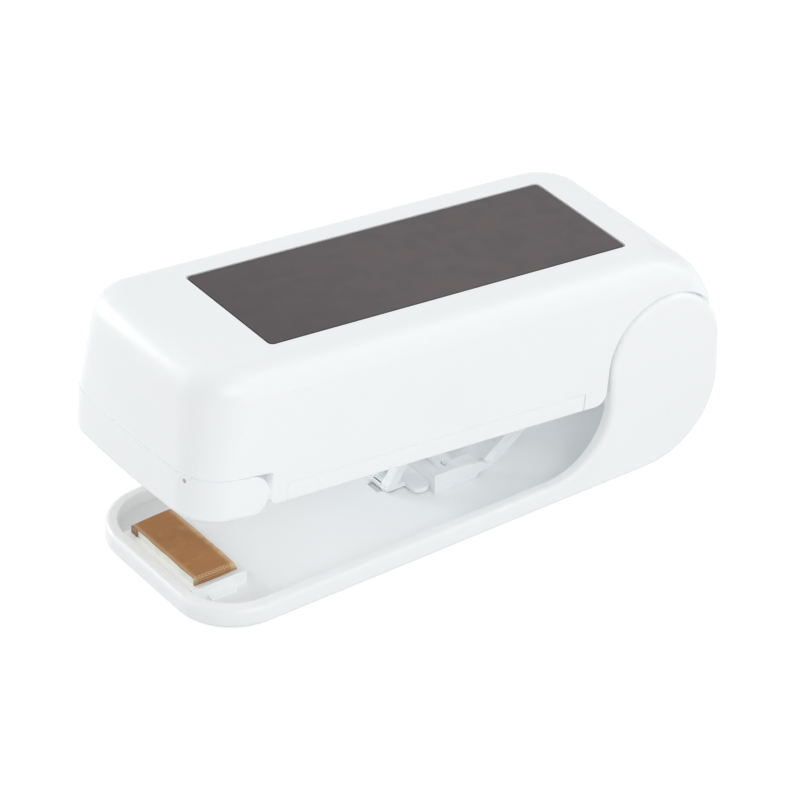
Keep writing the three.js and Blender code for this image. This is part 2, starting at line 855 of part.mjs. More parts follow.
// Lip on the head's upper edge that laps behind the housing's wall
function headLip() {
  const low = headPivotHeight;
  const ring = cut(jawForm(low, headLipInset), jawForm(low, headLipInset + headLipThickness));
  const front = middleBlock(jawFront - overrun, headPivotX - headEndRadius, jawWidth, 0, jawTop);
  return common(ring, seamSlab(-headFloor, headLipRise), front);
}

// Everything in front of the notch and below the head's seam
function headSpace() {
  const seam = headEndRadius + headSeam;
  const space = block(
    [jawFront - 2 * overrun, -halfJaw - overrun, headPivotHeight - jawTop],
    [notchX + headEndRadius, halfJaw + overrun, headPivotHeight + seam],
  );
  const front = block(
    [jawFront - 2 * overrun, -halfJaw - overrun, 0],
    [notchX, halfJaw + overrun, jawTop],
  );
  return common(turnedAbout(space, headPivotX, headPivotHeight, headTilt), front);
}

function magnetSolid(gap, low, high) {
  const plan = roundedPlan(
    magnetFront - gap,
    magnetFront + magnetLength + gap,
    magnetWidth / 2 + gap,
    magnetCornerRadius + gap,
    magnetCornerRadius + gap,
  );
  return upright(plan, low, high);
}

function upperHousing() {
  const rearFloorFront = coverRear + seat;
  const rearFloorTop = jawLowerEdge + rearFloorThickness;
  const hollowFront = common(
    jawForm(jawLowerEdge - jawWall, jawWall),
    middleBlock(jawFront, rearFloorFront, jawWidth, 0, jawTop),
  );
  const hollowRear = common(
    jawForm(rearFloorTop, jawWall),
    middleBlock(rearFloorFront - jawWall, baseRear, 2 * (jawSideInner - jawWall), 0, jawTop),
  );
  const bandSpace = middleBlock(
    coverFront - seat,
    coverRear + seat,
    jawWidth + overrun,
    0,
    jawLowerEdge + coverBand + seat,
  );
  const foot = across(cornerWaste(notchX, jawLowerEdge, jawFootRound, 1), -halfJaw, halfJaw);
  const heelX = cheekFront - cheekGap;
  const heels = [-1, 1].map((side) => {
    const inner = side * jawSideInner;
    const outer = side * halfJaw;
    const waste = cornerWaste(heelX, jawLowerEdge, jawHeelRound, -1);
    return across(waste, Math.min(inner, outer), Math.max(inner, outer));
  });
  const tubeReach = jawSideInner - jawWall / 2;
  const tube = rodAcross(barrelTubeRadius, hingeX, hingeHeight, -tubeReach, tubeReach);
  const bore = rodAcross(hingePinRadius + pinClearance, hingeX, hingeHeight, -halfJaw, halfJaw);
  const bossFoot = trayShelfHeight + trayShelfThickness + seat;
  const bosses = [-1, 1].map((side) => common(
    rodUp(bossRadius, screwX, side * screwSpread, bossFoot, jawTop - jawWall / 2),
    jawForm(jawLowerEdge, jawWall / 2),
  ));
  const bossHoles = [-1, 1].map((side) => rodUp(
    bossHole,
    screwX,
    side * screwSpread,
    0,
    trayShelfHeight + trayShelfThickness + screwLength + seat,
  ));
  const tip = springRibFront + springRibLength + springArmReach;
  const slots = [-1, 1].map((side) => {
    const y = side * springArmY;
    const half = springArmWidth / 2 + springSlotClearance;
    const end = tip + 2 * springSlotClearance;
    return block([end - springSlotLength, y - half, 0], [end, y + half, rearFloorTop + seat]);
  });
  const shell = cut(
    jawForm(jawLowerEdge, 0),
    hollowFront,
    hollowRear,
    headSpace(),
    common(jawForm(headPivotHeight, headLipInset - seat), seamSlab(0, headLipRise + 2 * seat)),
    cheekSpace(-1),
    cheekSpace(1),
    bandSpace,
    foot,
    ...heels,
    magnetSolid(magnetSideGap, jawTop - magnetThickness - seat, jawTop + overrun),
  );
  return cut(join(shell, tube, ...bosses), bore, ...bossHoles, ...slots);
}

function magnetSheet() {
  return magnetSolid(0, jawTop - magnetThickness, jawTop);
}

// Side outline that leaves the head's round rear end about its pivot
function headEndOutline() {
  const front = jawFront - 2 * overrun;
  const shape = new THREE.Shape();
  shape.moveTo(front, headPivotHeight - headEndRadius - overrun);
  shape.lineTo(headPivotX, headPivotHeight - headEndRadius - overrun);
  shape.lineTo(headPivotX, headPivotHeight - headEndRadius);
  shape.absarc(headPivotX, headPivotHeight, headEndRadius, -quarter, quarter);
  shape.lineTo(headPivotX, headPivotHeight + headEndRadius + overrun);
  shape.lineTo(front, headPivotHeight + headEndRadius + overrun);
  return shape;
}

// Head's outer form: the jaw's own outline between two tilted planes, rolled in at the bottom
function headForm() {
  const low = headPivotHeight - headEndRadius / Math.cos(headTilt);
  const level = (point, rise) => low + rise + (headPivotX - point.x) * Math.tan(headTilt);
  const ringAt = (rise, drawnIn) => ringPoints({
    front: jawFront + drawnIn,
    rear: headPivotX + 2 * headEndRadius,
    halfWidth: halfJaw - drawnIn,
    frontRadius: jawFrontCorner - drawnIn,
    rearRadius: headRoll,
    height: 0,
  }).map((point) => point.setZ(level(point, rise)));
  const rings = [];
  for (let step = 0; step <= bevelSegments; step += 1) {
    const angle = quarter * (step / bevelSegments);
    rings.push(ringAt(headRoll * (1 - Math.cos(angle)), headRoll * (1 - Math.sin(angle))));
  }
  rings.push(ringAt(2 * headEndRadius / Math.cos(headTilt), 0));
  return loft(rings);
}

function headTurned(geometry) {
  return turnedAbout(geometry, headPivotX, headPivotHeight, headTilt);
}

function heaterHead() {
  const bottomFace = headPivotHeight - headEndRadius;
  const floorTop = bottomFace + headFloor;
  const roundEnd = headTurned(across(headEndOutline(), -halfJaw, halfJaw, headEdgeRound));
  const outer = common(headForm(), roundEnd);
  const hollow = common(
    jawForm(headPivotHeight - 2 * headEndRadius, headWall),
    headTurned(middleBlock(jawFront - overrun, headPivotX + headInnerRear, jawWidth, floorTop, jawTop)),
  );
  const pinReach = halfJaw - headWall + headPinDepth;
  const holeRadius = headPinRadius + runningGap / 2;
  const pinHoles = rodAcross(holeRadius, headPivotX, headPivotHeight, -pinReach, pinReach);
  const heaterX = headPivotX + heaterFromPivot;
  const slotFront = heaterX - heaterWidth / 2 - seat;
  const slotRear = heaterX + heaterWidth / 2 + seat;
  const channel = headTurned(middleBlock(
    slotFront,
    slotRear,
    heaterLength + 2 * heaterThickness + 2 * seat,
    bottomFace - overrun,
    bottomFace + heaterThickness + seat,
  ));
  const legSlots = [-1, 1].map((side) => {
    const y = side * heaterLength / 2;
    const half = heaterThickness + seat;
    const low = bottomFace - overrun;
    return headTurned(block([slotFront, y - half, low], [slotRear, y + half, floorTop + seat]));
  });
  const speckX = jawFront - jawFrontBow;
  const seamRise = (headPivotX - speckX) * Math.tan(headTilt);
  const speckHeight = headPivotHeight + headEndRadius + seamRise - speckDrop;
  const speckLength = 2 * (speckDepth + jawFrontBow);
  const speck = new THREE.CylinderGeometry(speckRadius, speckRadius, speckLength, smallSides);
  speck.rotateZ(quarter).translate(speckX, speckAcross, speckHeight);
  return cut(join(cut(outer, hollow), headLip()), pinHoles, channel, ...legSlots, speck);
}

function headPin(side) {
  const outer = side * (halfJaw - headWall + headPinDepth - runningGap);
  const inner = outer - side * headPinLength;
  const [from, to] = [Math.min(inner, outer), Math.max(inner, outer)];
  return rodAcross(headPinRadius, headPivotX, headPivotHeight, from, to);
}

// Heater ribbon across the head's underside, with a leg up through the floor at each end
function heaterRibbon() {
  const x = headPivotX + heaterFromPivot;
  const low = headPivotHeight - headEndRadius;
  const front = x - heaterWidth / 2;
  const rear = x + heaterWidth / 2;
  const strip = middleBlock(front, rear, heaterLength, low, low + heaterThickness);
  const legs = [-1, 1].map((side) => {
    const y = side * (heaterLength / 2 - heaterThickness / 2);
    return block([front, y - heaterThickness / 2, low], [rear, y + heaterThickness / 2, low + heaterLegRise]);
  });
  return headTurned(geometryOf(join(strip, ...legs)));
}

function heaterTape() {
  const x = headPivotX + heaterFromPivot;
  const top = headPivotHeight - headEndRadius - filmGap;
  return headTurned(middleBlock(
    x - heaterTapeWidth / 2,
    x + heaterTapeWidth / 2,
    heaterTapeLength,
    top - heaterTapeThickness,
    top,
  ));
}

class Coil extends THREE.Curve {
  constructor(start, axis, length, turns, radiusStart, radiusEnd) {
    super();
    Object.assign(this, { start, axis, length, turns, radiusStart, radiusEnd });
    this.side = new THREE.Vector3(0, 1, 0);
    this.other = new THREE.Vector3().crossVectors(axis, this.side);
  }

  getPoint(share, target = new THREE.Vector3()) {
    const angle = turn * this.turns * share;
    const radius = THREE.MathUtils.lerp(this.radiusStart, this.radiusEnd, share);
    return target
      .copy(this.start)
      .addScaledVector(this.axis, this.length * share)
      .addScaledVector(this.side, radius * Math.cos(angle))
      .addScaledVector(this.other, radius * Math.sin(angle));
  }
}

// One unbroken wire along a coil
function coilSpring(start, axis, length, turns, wire, radiusStart, radiusEnd) {
  const path = new Coil(start, axis, length, turns, radiusStart, radiusEnd);
  const section = [];
  for (let side = 0; side < coilSides; side += 1) {
    const angle = turn * (side / coilSides);
    section.push([wire / 2 * Math.cos(angle), wire / 2 * Math.sin(angle)]);
  }
  const steps = Math.round(turns * coilStepsPerTurn);
  return new THREE.ExtrudeGeometry(polygon(section), { steps, extrudePath: path, bevelEnabled: false });
}

function headSpring(side) {
  const rise = (headPivotX - headSpringX) * Math.tan(headTilt);
  const low = headPivotHeight - headEndRadius + headFloor + rise + seat + headSpringWire;
  const high = trayShelfHeight - seat - headSpringWire / 2;
  const start = new THREE.Vector3(headSpringX, side * headSpringSpread, low);
  const axis = new THREE.Vector3(0, 0, 1);
  return coilSpring(
    start,
    axis,
    high - low,
    headSpringTurns,
    headSpringWire,
    headSpringRadius,
    headSpringRadius,
  );
}

// The moving contact stands on the head's floor, and the fixed one hangs from the tray's shelf
function movingContact() {
  const low = headPivotHeight - headEndRadius + headFloor + seat;
  const high = trayShelfHeight - seat - contactThickness - contactAirGap;
  const rise = (headPivotX - headSpringX) * Math.tan(headTilt);
  const foot = middleBlock(
    headSpringX - contactLength / 2,
    headSpringX + contactLength / 2,
    contactWidth,
    low,
    low + contactThickness,
  );
  const post = middleBlock(
    headSpringX - contactThickness / 2,
    headSpringX + contactThickness / 2,
    contactWidth,
    low,
    high - rise,
  );
  const bent = middleBlock(
    headSpringX - contactLength / 2,
    headSpringX + contactThickness / 2,
    contactWidth,
    high - rise - contactThickness,
    high - rise,
  );
  return headTurned(geometryOf(join(foot, post, bent)));
}

function fixedContact() {
  const high = trayShelfHeight - seat;
  return middleBlock(
    headSpringX - contactLength / 2,
    headSpringX + contactLength,
    contactWidth,
    high - contactThickness,
    high,
  );
}

function batteryTray() {
  const low = plateTop + seat;
  const tub = cut(
    middleBlock(trayFront, trayRear - seat, 2 * trayHalfWidth, low, trayTop),
    middleBlock(
      trayFront + trayWall,
      trayRear - seat - trayWall,
      2 * (trayHalfWidth - trayWall),
      low - overrun,
      trayTop - trayRoof,
    ),
  );
  const foot = middleBlock(
    trayFront,
    coverFront - seat,
    2 * trayHalfWidth,
    jawLowerEdge,
    low + trayWall,
  );
  const rib = middleBlock(
    trayFront + trayWall / 2,
    compartmentRear,
    trayRibThickness,
    trayTop - trayRoof - trayRibDrop,
    trayTop - trayRoof / 2,
  );
  const shelf = middleBlock(
    trayShelfFront,
    trayFront + trayWall / 2,
    2 * trayShelfHalfWidth,
    trayShelfHeight,
    trayShelfHeight + trayShelfThickness,
  );
  const lip = middleBlock(
    trayRear - seat - trayWall / 2,
    trayRear + trayLipLength,
    2 * trayLipHalfWidth,
    jawLowerEdge + rearFloorThickness + seat,
    jawLowerEdge + rearFloorThickness + seat + trayWall,
  );
  const ears = [-1, 1].map((side) => {
    const middle = side * headEarSpread;
    return across(earOutline(), middle - headEarThickness / 2, middle + headEarThickness / 2);
  });
  const earHoles = rodAcross(headPinRadius + runningGap, headPivotX, headPivotHeight, -halfJaw, halfJaw);
  const screwHoles = [-1, 1].map((side) => rodUp(
    screwRadius + runningGap,
    screwX,
    side * screwSpread,
    0,
    trayTop,
  ));
  const fingerSpaces = [-1, 1].map((side) => {
    const y = side * coverFingerSpread;
    const half = coverFingerWidth / 2 + seat;
    return block(
      [coverFront - seat - trayWall, y - half, jawLowerEdge - overrun],
      [coverFront + coverFingerThickness + seat, y + half, plateTop + coverFingerRise + seat],
    );
  });
  return cut(join(tub, foot, rib, shelf, lip, ...ears), earHoles, ...screwHoles, ...fingerSpaces);
}

// Ear that hangs from the shelf to carry a head pin
function earOutline() {
  const shape = new THREE.Shape();
  const top = trayShelfHeight + trayShelfThickness / 2;
  shape.moveTo(headPivotX - headEarRadius, top);
  shape.lineTo(headPivotX - headEarRadius, headPivotHeight);
  shape.absarc(headPivotX, headPivotHeight, headEarRadius, Math.PI, turn);
  shape.lineTo(headPivotX + headEarRadius, top);
  return shape;
}

// Places of the cells' ends: each cell pushes its nub against the plate it faces
const compartmentFront = trayFront + trayWall + seat + contactPlateThickness + seat;
const compartmentRear = trayRear - seat - trayWall - seat - contactPlateThickness - seat;

function cell(side) {
  const body = cellRadius - cellEdgeRound;
  const profile = [
    [0, 0],
    [body, 0],
    [cellRadius, cellEdgeRound],
    [cellRadius, cellLength - cellEdgeRound],
    [body, cellLength],
    [cellNubRadius, cellLength],
    [cellNubRadius, cellLength + cellNubLength],
    [0, cellLength + cellNubLength],
  ];
  const geometry = new THREE.LatheGeometry(profile.map(([r, h]) => new THREE.Vector2(r, h)), roundSides);
  const start = compartmentFront + cellLength + cellNubLength;
  if (side < 0) geometry.rotateZ(quarter).translate(start, 0, 0);
  else geometry.rotateZ(-quarter).translate(compartmentRear - cellLength - cellNubLength, 0, 0);
  return geometry.translate(0, side * cellSpread, cellCentreHeight);
}

// Tapered contact spring, wide on the tray's end wall and narrow on the cell
function contactSpring(side) {
  const forward = side > 0;
  const wallX = forward ? compartmentFront : compartmentRear;
  const way = forward ? 1 : -1;
  const cellEnd = forward
    ? compartmentRear - cellLength - cellNubLength
    : compartmentFront + cellLength + cellNubLength;
  const gap = contactSpringWire / 2 + runningGap;
  const length = Math.min(Math.abs(cellEnd - wallX) - 2 * gap, contactSpringLength);
  const start = new THREE.Vector3(wallX + way * gap, side * cellSpread, cellCentreHeight);
  const axis = new THREE.Vector3(way, 0, 0);
  return coilSpring(
    start,
    axis,
    length,
    contactSpringTurns,
    contactSpringWire,
    contactSpringWide,
    contactSpringNarrow,
  );
}

function contactPlate(x, from, to) {
  return block(
    [x, from, cellCentreHeight - contactPlateHeight / 2],
    [x + contactPlateThickness, to, cellCentreHeight + contactPlateHeight / 2],
  );
}

function frontPlate(side) {
  const middle = side * cellSpread;
  const x = compartmentFront - seat - contactPlateThickness;
  return contactPlate(x, middle - contactPlateWidth / 2, middle + contactPlateWidth / 2);
}

function bridgePlate() {
  const reach = cellSpread + contactPlateWidth / 2;
  return contactPlate(compartmentRear + seat, -reach, reach);
}

// Cover: a plate with a band at each side that fills the notch in the housing's wall
function batteryCover() {
  const profile = polygon([
    [-halfJaw, jawLowerEdge],
    [halfJaw, jawLowerEdge],
    [halfJaw, jawLowerEdge + coverBand],
    [halfJaw - coverBandWidth, jawLowerEdge + coverBand],
    [halfJaw - coverBandWidth, plateTop],
    [coverBandWidth - halfJaw, plateTop],
    [coverBandWidth - halfJaw, jawLowerEdge + coverBand],
    [-halfJaw, jawLowerEdge + coverBand],
  ]);
  const trough = along(profile, coverFront, coverRear);
  const envelope = upright(
    roundedPlan(coverFront, coverRear, halfJaw, coverCornerRadius, coverCornerRadius),
    jawLowerEdge,
    jawLowerEdge + coverBand + coverEdgeRound,
    coverEdgeRound,
  );
  const ribs = [-1, 1].map((side) => {
    const y = side * cellSpread;
    return block(
      [coverFront + overrun, y - trayRibThickness / 2, plateTop - coverPlate / 2],
      [coverRear - 2 * overrun, y + trayRibThickness / 2, plateTop + coverRibHeight],
    );
  });
  const fingers = [-1, 1].map((side) => {
    const y = side * coverFingerSpread;
    return block(
      [coverFront, y - coverFingerWidth / 2, plateTop - coverPlate / 2],
      [coverFront + coverFingerThickness, y + coverFingerWidth / 2, plateTop + coverFingerRise],
    );
  });
  const grips = [];
  for (let index = 0; index < coverGripCount; index += 1) {
    const x = coverFront + coverGripStart + index * coverGripPitch;
    grips.push(middleBlock(x, x + coverGripWidth, coverGripLength, 0, jawLowerEdge + coverGripDepth));
  }
  const window = middleBlock(windowFront, windowRear, windowWidth, 0, jawTop);
  const armNotches = [-1, 1].map((side) => {
    const y = side * springArmY;
    const half = springArmWidth / 2 + springSlotClearance;
    return block([coverRear - overrun, y - half, 0], [coverRear + overrun, y + half, jawTop]);
  });
  return cut(join(common(trough, envelope), ...ribs, ...fingers), ...grips, window, ...armNotches);
}

function trayScrew(side) {
  const top = trayShelfHeight - seat;
  const profile = [
    [0, top - screwHeadHeight],
    [screwHeadRadius * 2 / 3, top - screwHeadHeight],
    [screwHeadRadius, top - screwHeadHeight / 2],
    [screwHeadRadius, top],
    [screwRadius, top],
    [screwRadius, top + screwLength - screwRadius],
    [0, top + screwLength],
  ];
  const geometry = new THREE.LatheGeometry(profile.map(([r, h]) => new THREE.Vector2(r, h)), smallSides);
  return geometry.rotateX(quarter).translate(screwX, side * screwSpread, 0);
}

// Pieces that stay with the base
const base = new THREE.Group();
base.add(
  part('base_tray', 'shell', baseTray()),
  part('anvil_pad', 'rubber', anvilPad()),
  part('anvil_tape', 'cloth', anvilTape()),
  part('return_spring', 'acetal', returnSpring()),
  part('lock_slider', 'acetal', lockSlider()),
  part('hinge_pin', 'steel', hingePin()),
);

// Pieces that turn with the upper jaw, laid out level and then opened about the hinge
const level = new THREE.Group();
level.add(
  part('upper_housing', 'shell', upperHousing()),
  part('magnet_sheet', 'magnet', magnetSheet()),
  part('battery_tray', 'inner', batteryTray()),
  part('battery_cover', 'shell', batteryCover()),
  part('cell_near', 'cell', cell(-1)),
  part('cell_far', 'cell', cell(1)),
  part('contact_spring_near', 'steel', contactSpring(-1)),
  part('contact_spring_far', 'steel', contactSpring(1)),
  part('contact_plate_near', 'brass', frontPlate(-1)),
  part('contact_plate_far', 'brass', frontPlate(1)),
  part('contact_bridge', 'brass', bridgePlate()),
  part('fixed_switch_contact', 'brass', fixedContact()),
  part('tray_screw_near', 'steel', trayScrew(-1)),
  part('tray_screw_far', 'steel', trayScrew(1)),
  part('heater_head', 'shell', heaterHead()),
  part('heater_ribbon', 'steel', heaterRibbon()),
  part('heater_tape', 'cloth', heaterTape()),
  part('moving_switch_contact', 'brass', movingContact()),
  part('head_pin_near', 'steel', headPin(-1)),
  part('head_pin_far', 'steel', headPin(1)),
  part('head_spring_near', 'steel', headSpring(-1)),
  part('head_spring_far', 'steel', headSpring(1)),
);
level.position.set(-hingeX, 0, -hingeHeight);
const jaw = new THREE.Group();
jaw.add(level);
jaw.position.set(hingeX, 0, hingeHeight);
jaw.rotation.y = restTilt;

// The origin is under the middle of the part's box
const sealer = new THREE.Group();
sealer.add(base, jaw);
sealer.updateMatrixWorld(true);
const box = new THREE.Box3().setFromObject(sealer, true);
sealer.position.set(-(box.min.x + box.max.x) / 2, -(box.min.y + box.max.y) / 2, -box.min.z);

export default sealer;
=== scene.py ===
import json
import math

import bpy
from bpy.props import FloatProperty, FloatVectorProperty, IntProperty, PointerProperty
from mathutils import Matrix, Vector


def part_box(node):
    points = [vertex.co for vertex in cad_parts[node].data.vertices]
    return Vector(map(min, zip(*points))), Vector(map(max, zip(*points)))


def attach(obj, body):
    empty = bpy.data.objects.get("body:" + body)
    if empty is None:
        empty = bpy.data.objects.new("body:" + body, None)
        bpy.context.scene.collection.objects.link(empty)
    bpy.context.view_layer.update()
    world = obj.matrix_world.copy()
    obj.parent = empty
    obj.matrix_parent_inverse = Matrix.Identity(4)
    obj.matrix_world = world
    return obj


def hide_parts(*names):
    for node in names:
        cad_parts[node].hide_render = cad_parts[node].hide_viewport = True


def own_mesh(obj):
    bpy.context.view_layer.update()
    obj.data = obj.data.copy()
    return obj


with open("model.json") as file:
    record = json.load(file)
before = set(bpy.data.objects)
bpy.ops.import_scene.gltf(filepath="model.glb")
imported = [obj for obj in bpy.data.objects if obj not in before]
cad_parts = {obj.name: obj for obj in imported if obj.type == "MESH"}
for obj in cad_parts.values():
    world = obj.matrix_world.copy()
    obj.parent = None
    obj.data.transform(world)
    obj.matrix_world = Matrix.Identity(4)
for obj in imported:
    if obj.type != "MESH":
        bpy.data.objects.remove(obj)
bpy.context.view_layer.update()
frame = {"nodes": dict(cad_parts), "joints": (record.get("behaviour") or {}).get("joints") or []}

bl_info = {
    "name": "Mini bag sealer",
    "version": (1, 0, 0),
    "blender": (4, 5, 0),
    "location": "3D View > Sidebar > Bag sealer",
    "description": "Dresses the frame of a two-cell bag sealer with finished pieces and materials",
    "category": "Object",
}

MM = 0.001
JOINTS = {joint["name"]: joint for joint in frame["joints"]}
HINGE = Vector(JOINTS["jaw_hinge"]["pos_m"])
PIVOT = Vector(JOINTS["head_press"]["pos_m"])
COVER_WAY = Vector(JOINTS["cover_slide"]["axis"])
REST_TILT = math.atan2(-COVER_WAY.x, -COVER_WAY.z)
HEAD_TILT = math.radians(5.1)


def turn_about(point, angle):
    """Matrix that turns about a cross axis through a point."""
    return Matrix.Translation(point) @ Matrix.Rotation(angle, 4, "Y") @ Matrix.Translation(-point)


FROM_LEVEL = turn_about(HINGE, REST_TILT)
FROM_HEAD = turn_about(PIVOT, HEAD_TILT) @ FROM_LEVEL

# Bands of the battery cover, in the levelled jaw
COVER_GAP = 0.3 * MM
COVER_BAND = 2 * MM
COVER_BAND_TOP = 2.4 * MM
COVER_SHIFT = 0.26 * MM
COVER_CORNER = 1.05 * MM
CORNER_SHARE = 0.3

# Small blind hole in the head's front, in the levelled jaw
SPECK_Y = -15.35 * MM
SPECK_Z = 20.84 * MM
SPECK_RADIUS = 0.45 * MM
SPECK_BEHIND = -49 * MM
SPECK_FLOOR = -50.4 * MM
SPECK_SHARE = 0.85
SPECK_FILL = 0.68 * MM
SPECK_INSIDE = 0.98
SPECK_AROUND = 1.05

# Narrow gaps round the head and the cheeks' rims, and the strength of the painted glow that lightens the shade inside
# them
HEAD_EDGE = 20.75 * MM
HEAD_SEAM = 0.2 * MM
ARC_INNER = 11.3 * MM
ARC_OUTER = 12.1 * MM
ARC_LOW = 5 * MM
NOTCH_FRONT = -37.2 * MM
NOTCH_REAR = -36.2 * MM
SEAM_GLOW = 0.08
NOTCH_GLOW = 0.2

# A face with this share of its normal along a way counts as facing it, and one this near to a place as being there
FACING = 0.9
FACING_SEAM = 0.8
FACING_ARC = 0.6
CLOSE = 0.02 * MM

# Copies of solids: points this near are merged, and faces this nearly flat are joined
MERGE_DISTANCE = 0.004 * MM
FLAT_ANGLE = math.radians(0.6)

# Side of the photograph in pixels
IMAGE_SIDE = 800


def off_speck(place):
    """Distance from the middle line of the hole."""
    return math.hypot(place.y - SPECK_Y, place.z - SPECK_Z)


def in_speck(place, normal):
    """Faces inside the head's blind hole."""
    return place.x < SPECK_BEHIND and off_speck(place) < SPECK_RADIUS * SPECK_SHARE * SPECK_INSIDE


def in_head_seam(place, normal):
    """Faces on the head's top edge."""
    return place.x < PIVOT.x and place.z > HEAD_EDGE - CLOSE


def in_housing_seam(place, normal):
    """Faces of the housing over the head's top edge."""
    return place.x < PIVOT.x and normal.z < -FACING_SEAM and abs(place.z - HEAD_EDGE - HEAD_SEAM) < 2 * CLOSE


def own_box(node, place=FROM_LEVEL):
    """Lowest and highest corner of a node in a frame that is turned with its body."""
    back = place.inverted()
    points = [back @ vertex.co for vertex in frame["nodes"][node].data.vertices]
    low = Vector([min(point[axis] for point in points) for axis in range(3)])
    high = Vector([max(point[axis] for point in points) for axis in range(3)])
    return low, high


COVER_LOW, COVER_HIGH = own_box("battery_cover")


def in_cover_end(place, normal):
    """Faces of the housing that the cover's ends stand against."""
    ends = (COVER_LOW.x - COVER_GAP, COVER_HIGH.x + COVER_GAP)
    beside = abs(place.y) > COVER_HIGH.y - COVER_BAND and place.z < COVER_HIGH.z
    return beside and abs(normal.x) > FACING and min(abs(place.x - end) for end in ends) < 5 * CLOSE


def in_notch(place, normal):
    """Faces behind the gap between the head's round ends and the housing."""
    return normal.x < -FACING and NOTCH_FRONT < place.x < NOTCH_REAR


def in_arc(place, normal):
    """Faces of the housing that stand round the upper part of a cheek's rim."""
    out = Vector((place.x - HINGE.x, 0, place.z - HINGE.z))
    inward = -out.normalized().dot(normal)
    return inward > FACING_ARC and ARC_INNER < out.length < ARC_OUTER and out.z > ARC_LOW


def in_rear_arc(place, normal):
    return place.x > HINGE.x and in_arc(place, normal)


def in_cover_top(place, normal):
    """Top faces of the cover's bands."""
    beside = abs(place.y) > COVER_HIGH.y - COVER_BAND
    return beside and normal.z > FACING and place.z > COVER_LOW.z + COVER_BAND_TOP


# Sizes and colours that a user would change

def length(name, description, millimetres):
    value = millimetres * MM
    return FloatProperty(name=name, description=description, default=value, subtype="DISTANCE", unit="LENGTH")


def colour(name, description, value):
    return FloatVectorProperty(name=name, description=description, default=value, size=3, min=0, max=1, subtype="COLOR")


def share(name, description, value, high=1.0):
    return FloatProperty(name=name, description=description, default=value, min=0, max=high, subtype="FACTOR")


def power(name, description, watts):
    return FloatProperty(name=name, description=description, default=watts, min=0, unit="POWER")


class StageSizes(bpy.types.PropertyGroup):
    floor_side: length("Floor side", "Side of the floor square", 6000)
    sky_strength: share("Sky strength", "Strength of the even white light all round", 0.665, 4)
    near_power: power("Near lamp", "Power of the soft lamp on the camera's right", 1.42)
    far_power: power("Far lamp", "Power of the soft lamp beyond the front end", 2.62)
    rear_power: power("Rear lamp", "Power of the soft lamp at the hinge end", 0.95)
    bounces: IntProperty(
        name="Bounces", description="Times that light may pass on between the white walls", default=16, min=1, max=32,
    )
    focal_length: FloatProperty(
        name="Focal length", description="Focal length of the camera in millimetres", default=198.0, min=1,
    )


class PlasticSizes(bpy.types.PropertyGroup):
    shell_colour: colour("Shell", "Colour of the white gloss shells", (0.912, 0.928, 0.936))
    shell_warm: colour("Shell, warmer", "Second tone that the shells drift to", (0.918, 0.931, 0.934))
    inner_colour: colour("Inner frame", "Colour of the frame that holds the cells", (0.80, 0.82, 0.82))
    spring_colour: colour("Spring and lock", "Colour of the moulded spring and the lock", (0.895, 0.91, 0.915))
    roughness: share("Shell roughness", "Roughness of the moulded skin", 0.34)
    grain_size: length("Grain", "Size of the fine texture of the mould", 0.35)
    edge_round: length("Edge rounding", "Rounding of the shells' sharp edges", 0.14)


class PadSizes(bpy.types.PropertyGroup):
    pad_colour: colour("Pad", "Colour of the soft pad", (0.84, 0.845, 0.775))
    tape_colour: colour("Tape", "Colour of the coated cloth", (0.395, 0.175, 0.055))
    tape_light: colour("Tape, light threads", "Colour of the raised threads", (0.60, 0.325, 0.115))
    tape_worn: colour("Tape, worn", "Colour of the bare threads along the folds", (0.80, 0.58, 0.37))
    thread_pitch: length("Thread pitch", "Distance between neighbouring threads", 0.33)
    tape_thickness: length("Tape thickness", "Thickness of the cloth", 0.2)
    flap_length: length("Flap", "Length of the tape round the pad's far front corner", 1.55)


class MagnetSizes(bpy.types.PropertyGroup):
    sheet_colour: colour("Magnet sheet", "Colour of the magnet sheet", (0.100, 0.087, 0.091))
    fleck_colour: colour("Flecks", "Colour of the pale flecks on the sheet", (0.62, 0.6, 0.6))
    edge_round: length("Edge rounding", "Rounding of the sheet's edges", 0.12)


class MetalSizes(bpy.types.PropertyGroup):
    steel_colour: colour("Steel", "Colour of the pins, springs and screws", (0.60, 0.61, 0.63))
    brass_colour: colour("Brass", "Colour of the contact plates", (0.72, 0.56, 0.30))
    sleeve_colour: colour("Cell sleeve", "Colour of the cells' sleeves", (0.055, 0.075, 0.066))
    coil_sides: IntProperty(
        name="Wire sides", description="Sides of the round wire of the springs", default=10, min=6, max=24,
    )


# Shader maths

def operator(kind, reflected=False):
    """Operator of a socket that adds a Math node."""
    def apply(wire, other):
        values = (other, wire) if reflected else (wire, other)
        return wire.shader.maths(kind, *values)
    return apply


class Wire:
    """A socket that takes part in sums and products."""

    def __init__(self, shader, socket):
        self.shader = shader
        self.socket = socket

    def __abs__(self):
        return self.shader.maths("ABSOLUTE", self)

    __add__ = __radd__ = operator("ADD")
    __sub__ = operator("SUBTRACT")
    __rsub__ = operator("SUBTRACT", reflected=True)
    __mul__ = __rmul__ = operator("MULTIPLY")
    __gt__ = operator("GREATER_THAN")


